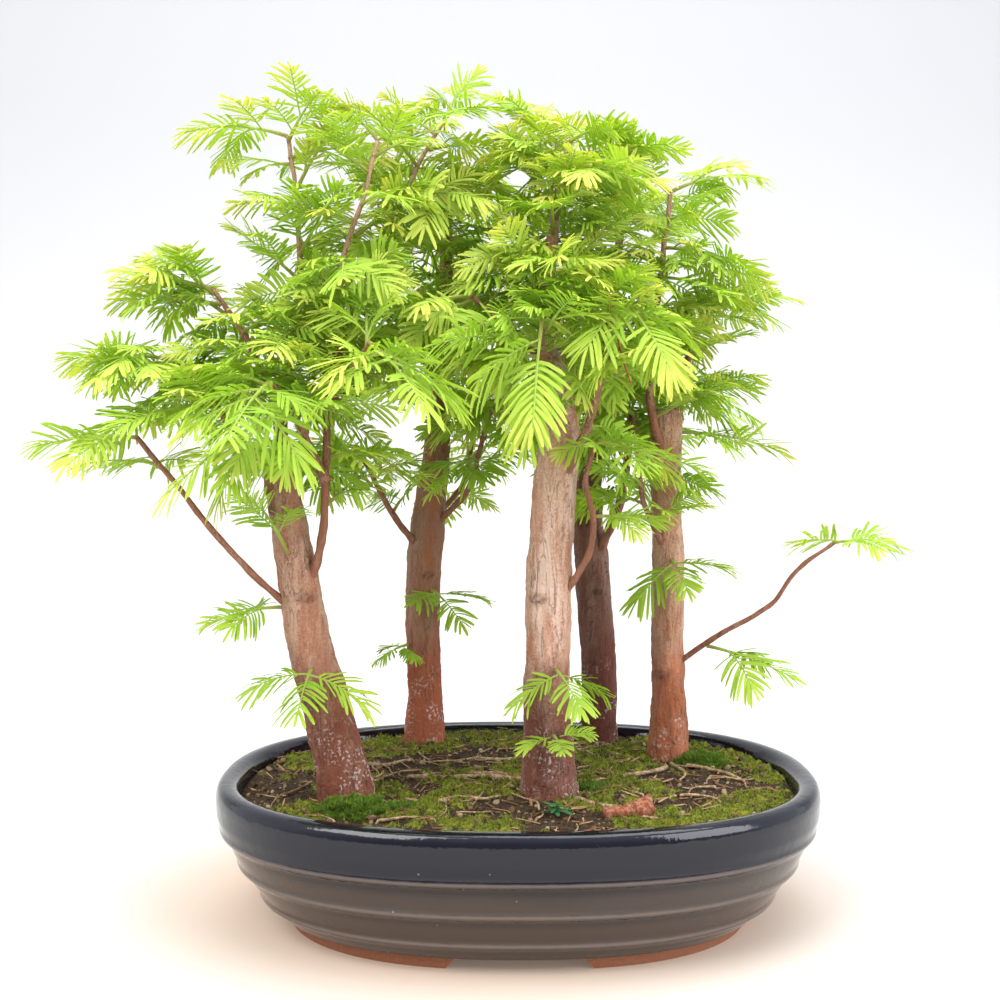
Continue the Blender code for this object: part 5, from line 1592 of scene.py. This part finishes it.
def speck_effect():
    """Small round specks, scattered at random: a mask."""
    made = Effect("specks", {"Scale": 300.0, "Share": 0.2, "Size": 0.25}, ["Mask"])
    cells = made.node("ShaderNodeTexVoronoi", {"Vector": made.place, "Scale": made.given["Scale"]}).outputs
    near = made.math("LESS_THAN", cells["Distance"], made.given["Size"])
    pick = made.node("ShaderNodeSeparateColor", {"Color": cells["Color"]})
    chosen = made.math("LESS_THAN", pick.outputs["Red"], made.given["Share"])
    made.put(made.times(near, chosen), made.results["Mask"])
    return made


def glaze_material(settings):
    """Blue-black glaze, brown down the wall where it runs thin and where a reflection of the warm floor is painted,
    with painted shade under each ridge and a painted highlight along it, partly worn glaze, a few specks, and bare
    clay below.
    """
    glaze = Finish("blue_black_glaze", 0.1)
    ragged = glaze.noise(160.0)
    # Painted reflection: the brown that comes in down the wall stands for the warm floor reflected in the glaze, as
    # well as for glaze that runs thin
    drift = glaze.scaled(glaze.noise(26.0), 0.008, glaze.height)
    colour = glaze.mix(glaze.span(drift, *GLAZE_THIN_AND_REFLECTION_HEIGHTS), settings.glaze, settings.thin_glaze_and_reflection)
    # Painted shade in a band just under each ridge, and a painted highlight along each ridge, partly glaze worn thin
    # there
    for ridge in RIDGES:
        off = glaze.away(glaze.height, (ridge + 0.4) * MM)
        line = glaze.span(off, glaze.scaled(ragged, -0.001, 0.0017), 0.0)
        below = glaze.math("SUBTRACT", (ridge - 0.4) * MM, glaze.height)
        ridge_shade = glaze.times(glaze.span(below, 0.0, 0.0008), glaze.span(below, 0.0055, 0.0012))
        colour = glaze.mix(ridge_shade, colour, PAINTED_RIDGE_SHADE, 0.6)
        colour = glaze.mix(line, colour, WORN_GLAZE_AND_HIGHLIGHT, 0.5)
    specks = glaze.effect("specks", Scale=320.0, Share=0.03, Size=0.12)["Mask"]
    colour = glaze.mix(specks, colour, GLAZE_SPECK, 0.5)
    clay = glaze.math("LESS_THAN", glaze.height, glaze.scaled(ragged, 0.003, FOOT_HEIGHT * MM - 0.0022))
    grit = glaze.noise(900.0)
    colour = glaze.mix(clay, colour, glaze.mix(grit, settings.clay, PALE_CLAY))
    smear = glaze.scaled(glaze.noise(70.0), 0.14, 0.02)
    peel = glaze.math("ADD", glaze.noise(240.0), glaze.times(clay, grit))
    return glaze.finish(colour, peel, 0.00015, glaze.math("MAXIMUM", smear, glaze.times(clay, 0.85)))


def screen_material():
    """Black plastic mesh, dulled by damp soil."""
    mesh = Finish("black_mesh", 0.55)
    dust = mesh.noise(500.0)
    return mesh.finish(mesh.mix(mesh.span(dust, 0.4, 0.7), BLACK_PLASTIC, DAMP_DUST), dust, 0.0002)


def soil_material(settings):
    """Dark humus with pale grit, and moss where the surface carries it."""
    soil = Finish("humus_and_moss", 0.9, 0.25)
    fine = soil.noise(900.0, 5.0, 0.7)
    earth = soil.mix(soil.span(fine, 0.4, 0.7), settings.humus, DRY_HUMUS)
    grit = soil.effect("specks", Scale=520.0, Share=0.12, Size=0.34)["Mask"]
    earth = soil.mix(grit, earth, PALE_GRIT, 0.7)
    green = soil.mix(soil.span(fine, 0.35, 0.66), settings.moss, settings.fresh_moss)
    # Painted highlight: yellower patches, partly the moss's own yellow
    green = soil.mix(soil.span(soil.noise(120.0), 0.52, 0.7), green, YELLOW_MOSS_AND_HIGHLIGHT)
    green = soil.mix(soil.span(soil.noise(260.0, 4.0, 0.7), 0.5, 0.38), green, SHADED_MOSS)
    cover = soil.scaled(soil.math("SUBTRACT", fine, 0.5), 1.6, soil.attribute("moss"))
    return soil.finish(soil.mix(soil.span(cover, 0.3, 0.62), earth, green), fine, 0.0012)


def tint_material(name, colours, roughness=0.7, glow=0.0):
    """A material that runs evenly through the colours as the piece's own tint rises from 0 to 1."""
    made = Finish(name, roughness, 0.3)
    stops = [(index / (len(colours) - 1), colour) for index, colour in enumerate(colours)]
    return made.finish(made.tinted(stops, 300.0, 0.3), glow=glow)


def needle_material(settings):
    """Soft needles: mid green inside, yellow-green towards the tips, on greenish tan shoots."""
    leaf = Finish("needles", 0.55, 0.22)
    green = leaf.tinted([(0.0, settings.mature), (0.62, settings.young), (1.0, TIP_YELLOW)], 90.0, 0.5)
    stem = leaf.attribute("stem")
    bark = leaf.mix(leaf.span(stem, 0.55, 0.95), GREEN_SHOOT, BROWN_SHOOT)
    return leaf.finish(leaf.mix(leaf.span(stem, 0.2, 0.5), green, bark), glow=0.5)


def bark_material(tree):
    """Thin bark: streaks and pale scurf, a redder foot, and flecks of lichen low down."""
    dark, body, streak, pale, foot, scurfy = BARKS[tree]
    bark = Finish(f"bark_of_{tree}", 0.8, 0.3)
    fibres = bark.effect("bark_fibres", Scale=330.0, Stretch=0.17)
    broad = bark.noise(70.0)
    low = bark.span(bark.scaled(broad, 0.06, bark.height), 0.15, 0.112)
    high = bark.span(bark.scaled(broad, 0.05, bark.height), 0.2, 0.24)
    colour = bark.mix(fibres["Streak"], body, streak, 0.85)
    colour = bark.mix(high, colour, streak, 0.5)
    colour = bark.mix(low, colour, foot, 0.9)
    cover = bark.times(fibres["Scurf"], scurfy)
    colour = bark.mix(cover, colour, pale, bark.scaled(low, -0.8, 1.0))
    colour = bark.mix(fibres["Crack"], colour, dark, 0.25)
    young = bark.mix(bark.span(bark.height, 0.22, 0.31), RED_TWIG, PALE_TWIG)
    young = bark.mix(fibres["Scurf"], young, pale, 0.2)
    colour = bark.mix(bark.attribute("limb"), colour, young)
    colour = bark.mix(bark.attribute("scar"), colour, dark, 0.8)
    flecks = bark.span(bark.noise(760.0, 2.0), 0.53, 0.62)
    patches = bark.span(bark.noise(110.0), 0.44, 0.6)
    flecks = bark.times(flecks, bark.times(patches, bark.span(bark.height, 0.1, 0.07)))
    return bark.finish(bark.mix(flecks, colour, LICHEN, 0.75), fibres["Height"], 0.0019)


def cut_material():
    """Weathered end grain."""
    wood = Finish("sawn_wood", 0.8, 0.25)
    grain = wood.noise(700.0)
    return wood.finish(wood.mix(wood.span(grain, 0.35, 0.7), DARK_GRAIN, PALE_GRAIN), grain, 0.0004)


def root_material(name, dark, pale):
    """Dry stringy root."""
    root = Finish(name, 0.8, 0.3)
    fibres = root.effect("bark_fibres", Scale=700.0, Stretch=0.5)
    colour = root.mix(fibres["Crack"], root.mix(fibres["Streak"], dark, pale), ROOT_CRACK, 0.6)
    return root.finish(colour, fibres["Height"], 0.0005)


def stage_material(settings):
    """Pale paper that glows a little: a painted shadow and warm bounce light close to the tray, white further out, and
    cooler up the backdrop.
    """
    paper = Finish("pale_paper", 0.75, 0.15)
    flat = paper.node("ShaderNodeVectorMath", {0: paper.place, 1: (1.0, 1.25, 0.0)}, operation="MULTIPLY")
    out = paper.node("ShaderNodeVectorMath", {0: flat.outputs[0]}, operation="LENGTH").outputs["Value"]
    # Painted shadow and warm bounce light close to the tray
    colour = paper.mix(paper.span(out, 0.1, 0.19), settings.painted_shadow_and_bounce, settings.floor)
    colour = paper.mix(paper.span(paper.height, 0.05, 0.8), colour, settings.wall)
    paper.put(colour, paper.shader.inputs["Emission Color"])
    paper.put(0.25, paper.shader.inputs["Emission Strength"])
    return paper.finish(colour, paper.noise(400.0), 0.00005)


# Operators

def ride_root(piece, slot, *nodes):
    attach(piece, "root")
    if nodes:
        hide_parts(*nodes)


class FOREST_OT_tray(bpy.types.Operator):
    """Make the oval glazed tray on its feet"""
    bl_idname = "forest.tray"
    bl_label = "Tray"

    def execute(self, context):
        settings = context.scene.forest_tray
        ride_root(make_tray(settings, glaze_material(settings)), "tray", "tray")
        return {"FINISHED"}


class FOREST_OT_screens(bpy.types.Operator):
    """Finish the mesh screens over the drain holes"""
    bl_idname = "forest.screens"
    bl_label = "Drain screens"

    def execute(self, context):
        look = screen_material()
        for name in ("drain_screen_left", "drain_screen_right"):
            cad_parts[name].material_slots[0].material = look
        return {"FINISHED"}


class FOREST_OT_soil(bpy.types.Operator):
    """Make the soil with its moss, crumbs and dry litter"""
    bl_idname = "forest.soil"
    bl_label = "Soil and moss"

    def execute(self, context):
        settings = context.scene.forest_soil
        ride_root(make_soil(soil_material(settings)), "soil", "soil")
        moss = tint_material("moss_shoots", [settings.moss, MID_MOSS, settings.fresh_moss], glow=0.3)
        ride_root(make_tufts(settings, moss), "soil")
        ride_root(make_crumbs(settings, tint_material("grit", CRUMB_COLOURS, roughness=0.9)), "soil")
        ride_root(make_litter(tint_material("dry_needles", LITTER_COLOURS)), "soil")
        return {"FINISHED"}


class FOREST_OT_cushions(bpy.types.Operator):
    """Make the bright cushions of moss at the feet of the trees"""
    bl_idname = "forest.cushions"
    bl_label = "Moss cushions"

    def execute(self, context):
        look = tint_material("leafy_moss", CUSHION_COLOURS, glow=0.4)
        for *place, node in CUSHIONS:
            ride_root(make_cushion(place, f"leafy_{node}", look, CUSHION_LEAVES), node, node)
        for number, place in enumerate(LOW_CUSHIONS, 1):
            ride_root(make_cushion(place, f"low_moss_{number}", look, LOW_CUSHION_LEAVES), "soil")
        return {"FINISHED"}


class FOREST_OT_roots(bpy.types.Operator):
    """Make the bare roots, the cut root and the small weed"""
    bl_idname = "forest.roots"
    bl_label = "Roots and weed"

    def execute(self, context):
        ride_root(make_roots(root_material("dry_root", *DRY_ROOT)), "soil")
        ride_root(make_twigs(root_material("dry_twig", *DRY_TWIG)), "tree_front")
        red = root_material("red_root", *RED_ROOT)
        ride_root(make_root_stub(red, cut_material()), "root_stub", "root_stub")
        ride_root(make_weed(tint_material("weed_leaves", WEED_COLOURS, 0.5, glow=0.3)), "soil")
        return {"FINISHED"}


class FOREST_OT_trees(bpy.types.Operator):
    """Make the five trunks with their limbs"""
    bl_idname = "forest.trees"
    bl_label = "Trunks and limbs"

    def execute(self, context):
        cut = cut_material()
        for tree in TRUNKS:
            piece = make_tree(tree, wood_of(tree), context.scene.forest_trees, [bark_material(tree), cut])
            ride_root(piece, f"tree_{tree}", f"tree_{tree}")
        return {"FINISHED"}


class FOREST_OT_foliage(bpy.types.Operator):
    """Make the sprays of needles"""
    bl_idname = "forest.foliage"
    bl_label = "Sprays"

    def execute(self, context):
        settings = context.scene.forest_foliage
        look = needle_material(settings)
        forest = {tree: wood_of(tree) for tree in TRUNKS}
        crown = Crown(forest)
        chance = random.Random(SEED)
        looks = random.Random(SEED + 10)
        fronds = Fronds(settings)
        for tree, sprays in SPRAYS.items():
            for number, spray in enumerate(sprays, 1):
                grown = solid_spray(spray, forest[tree][spray[0]], crown, chance)
                crown.taken += grown.points
                node = f"spray_{tree}_{number:02d}"
                ride_root(make_spray(grown.placed, fronds, f"leafy_{node}", look, looks), node, node)
        for tree, groups in LESSER_SPRAYS.items():
            number = 0
            for group, (limb, low, high, count, shortest, longest, *facing) in enumerate(groups, 1):
                placed = []
                for where in np.linspace(low, high, count):
                    length = looks.uniform(shortest, longest)
                    azimuth = facing[0] + (number % 5 - 2) * LESSER_FAN if facing else number * GOLDEN_ANGLE
                    grown = lesser_spray(forest[tree][limb], float(where), azimuth, length, crown, looks)
                    number += 1
                    crown.taken += grown.points
                    placed += grown.placed
                if placed:
                    name = f"lesser_{tree}_{group:02d}_{limb}"
                    ride_root(make_spray(placed, fronds, name, look, looks), f"spray_{tree}_01")
        return {"FINISHED"}


class FOREST_OT_stage(bpy.types.Operator):
    """Make the paper sweep, the lights and the camera"""
    bl_idname = "forest.stage"
    bl_label = "Stage"

    def execute(self, context):
        settings = context.scene.forest_stage
        make_sweep(stage_material(settings))
        make_lights(settings)
        make_camera()
        return {"FINISHED"}


def make_sweep(look):
    """A floor that curves up into a backdrop behind the part."""
    shape = bmesh.new()
    bmesh.ops.create_grid(shape, x_segments=2, y_segments=64, size=1.0)
    for vert in shape.verts:
        run = SWEEP_FRONT + (vert.co.y + 1) / 2 * SWEEP_RUN
        bend = max(run - SWEEP_BEND, 0.0)
        angle = min(bend / SWEEP_RADIUS, math.pi / 2)
        rise = max(bend - SWEEP_RADIUS * math.pi / 2, 0.0)
        y = min(run, SWEEP_BEND) + SWEEP_RADIUS * math.sin(angle)
        z = SWEEP_RADIUS * (1 - math.cos(angle)) + rise
        vert.co = (vert.co.x * SWEEP_HALF_WIDTH, y, z - SWEEP_GAP)
    finish_mesh(mesh_of(shape), "paper_sweep", [look])


def make_light(name, place, target, size, power, colour):
    light = bpy.data.lights.new(name, "AREA")
    light.shape = "RECTANGLE"
    light.size, light.size_y = size
    light.energy = power
    light.color = colour
    lamp = bpy.data.objects.new(name, light)
    lamp.location = place
    lamp.rotation_euler = (Vector(target) - Vector(place)).to_track_quat("-Z", "Y").to_euler()
    bpy.context.scene.collection.objects.link(lamp)


def make_lights(settings):
    x, y = CENTRE
    aim = (x, y, AIM_HEIGHT)
    for name, (across, back, height), size, share, colour in LIGHTS:
        make_light(name, (x + across, y + back, height), aim, size, settings.key * share, colour)
    world = bpy.data.worlds.new("soft_room")
    world.use_nodes = True
    room = Nodes(world.node_tree)
    background = room.tree.nodes["Background"].inputs
    around = room.node("ShaderNodeTexCoord").outputs["Generated"]
    parts = room.node("ShaderNodeSeparateXYZ", {"Vector": around}).outputs
    depth = room.scaled(parts["Z"], 0.9, parts["Y"])
    room.put(room.mix(room.span(depth, -0.9, 0.1), ROOM_FRONT, ROOM_BACK), background["Color"])
    room.put(ROOM_STRENGTH, background["Strength"])
    bpy.context.scene.world = world
    bpy.context.scene.view_settings.view_transform = "Standard"


def make_camera():
    camera = bpy.data.cameras.new("camera")
    camera.lens = CAMERA_LENS
    camera.sensor_width = CAMERA_SENSOR
    placed = bpy.data.objects.new("camera", camera)
    placed.location = (CENTRE[0] + CAMERA_PLACE[0] * MM, CENTRE[1] + CAMERA_PLACE[1] * MM,
                       CAMERA_PLACE[2] * MM)
    placed.rotation_euler = (math.radians(90 - CAMERA_DIP), 0.0, 0.0)
    bpy.context.scene.collection.objects.link(placed)
    bpy.context.scene.camera = placed


class FOREST_PT_panel(bpy.types.Panel):
    """Lists the steps that build the forest"""
    bl_idname = "FOREST_PT_panel"
    bl_label = "Dawn Redwood Forest"
    bl_space_type = "VIEW_3D"
    bl_region_type = "UI"
    bl_category = "Forest"

    def draw(self, context):
        for operator, settings in STEPS:
            self.layout.operator(operator.bl_idname)
            if settings:
                for name in getattr(context.scene, settings).__annotations__:
                    self.layout.prop(getattr(context.scene, settings), name)


STEPS = [
    (FOREST_OT_tray, "forest_tray"), (FOREST_OT_screens, None), (FOREST_OT_soil, "forest_soil"),
    (FOREST_OT_cushions, None), (FOREST_OT_roots, None), (FOREST_OT_trees, "forest_trees"),
    (FOREST_OT_foliage, "forest_foliage"), (FOREST_OT_stage, "forest_stage"),
]
SETTINGS = {
    "forest_tray": TraySettings, "forest_soil": SoilSettings, "forest_trees": TreeSettings,
    "forest_foliage": FoliageSettings, "forest_stage": StageSettings,
}
CLASSES = [*SETTINGS.values(), *(operator for operator, _ in STEPS), FOREST_PT_panel]


def register():
    for kind in CLASSES:
        bpy.utils.register_class(kind)
    for name, kind in SETTINGS.items():
        setattr(bpy.types.Scene, name, PointerProperty(type=kind))


def unregister():
    for name in SETTINGS:
        delattr(bpy.types.Scene, name)
    for kind in reversed(CLASSES):
        bpy.utils.unregister_class(kind)


def main():
    register()
    bpy.ops.forest.tray()
    bpy.ops.forest.screens()
    bpy.ops.forest.soil()
    bpy.ops.forest.cushions()
    bpy.ops.forest.roots()
    bpy.ops.forest.trees()
    bpy.ops.forest.foliage()
    bpy.ops.forest.stage()
    bpy.context.view_layer.update()


if __name__ == "__main__":
    main()
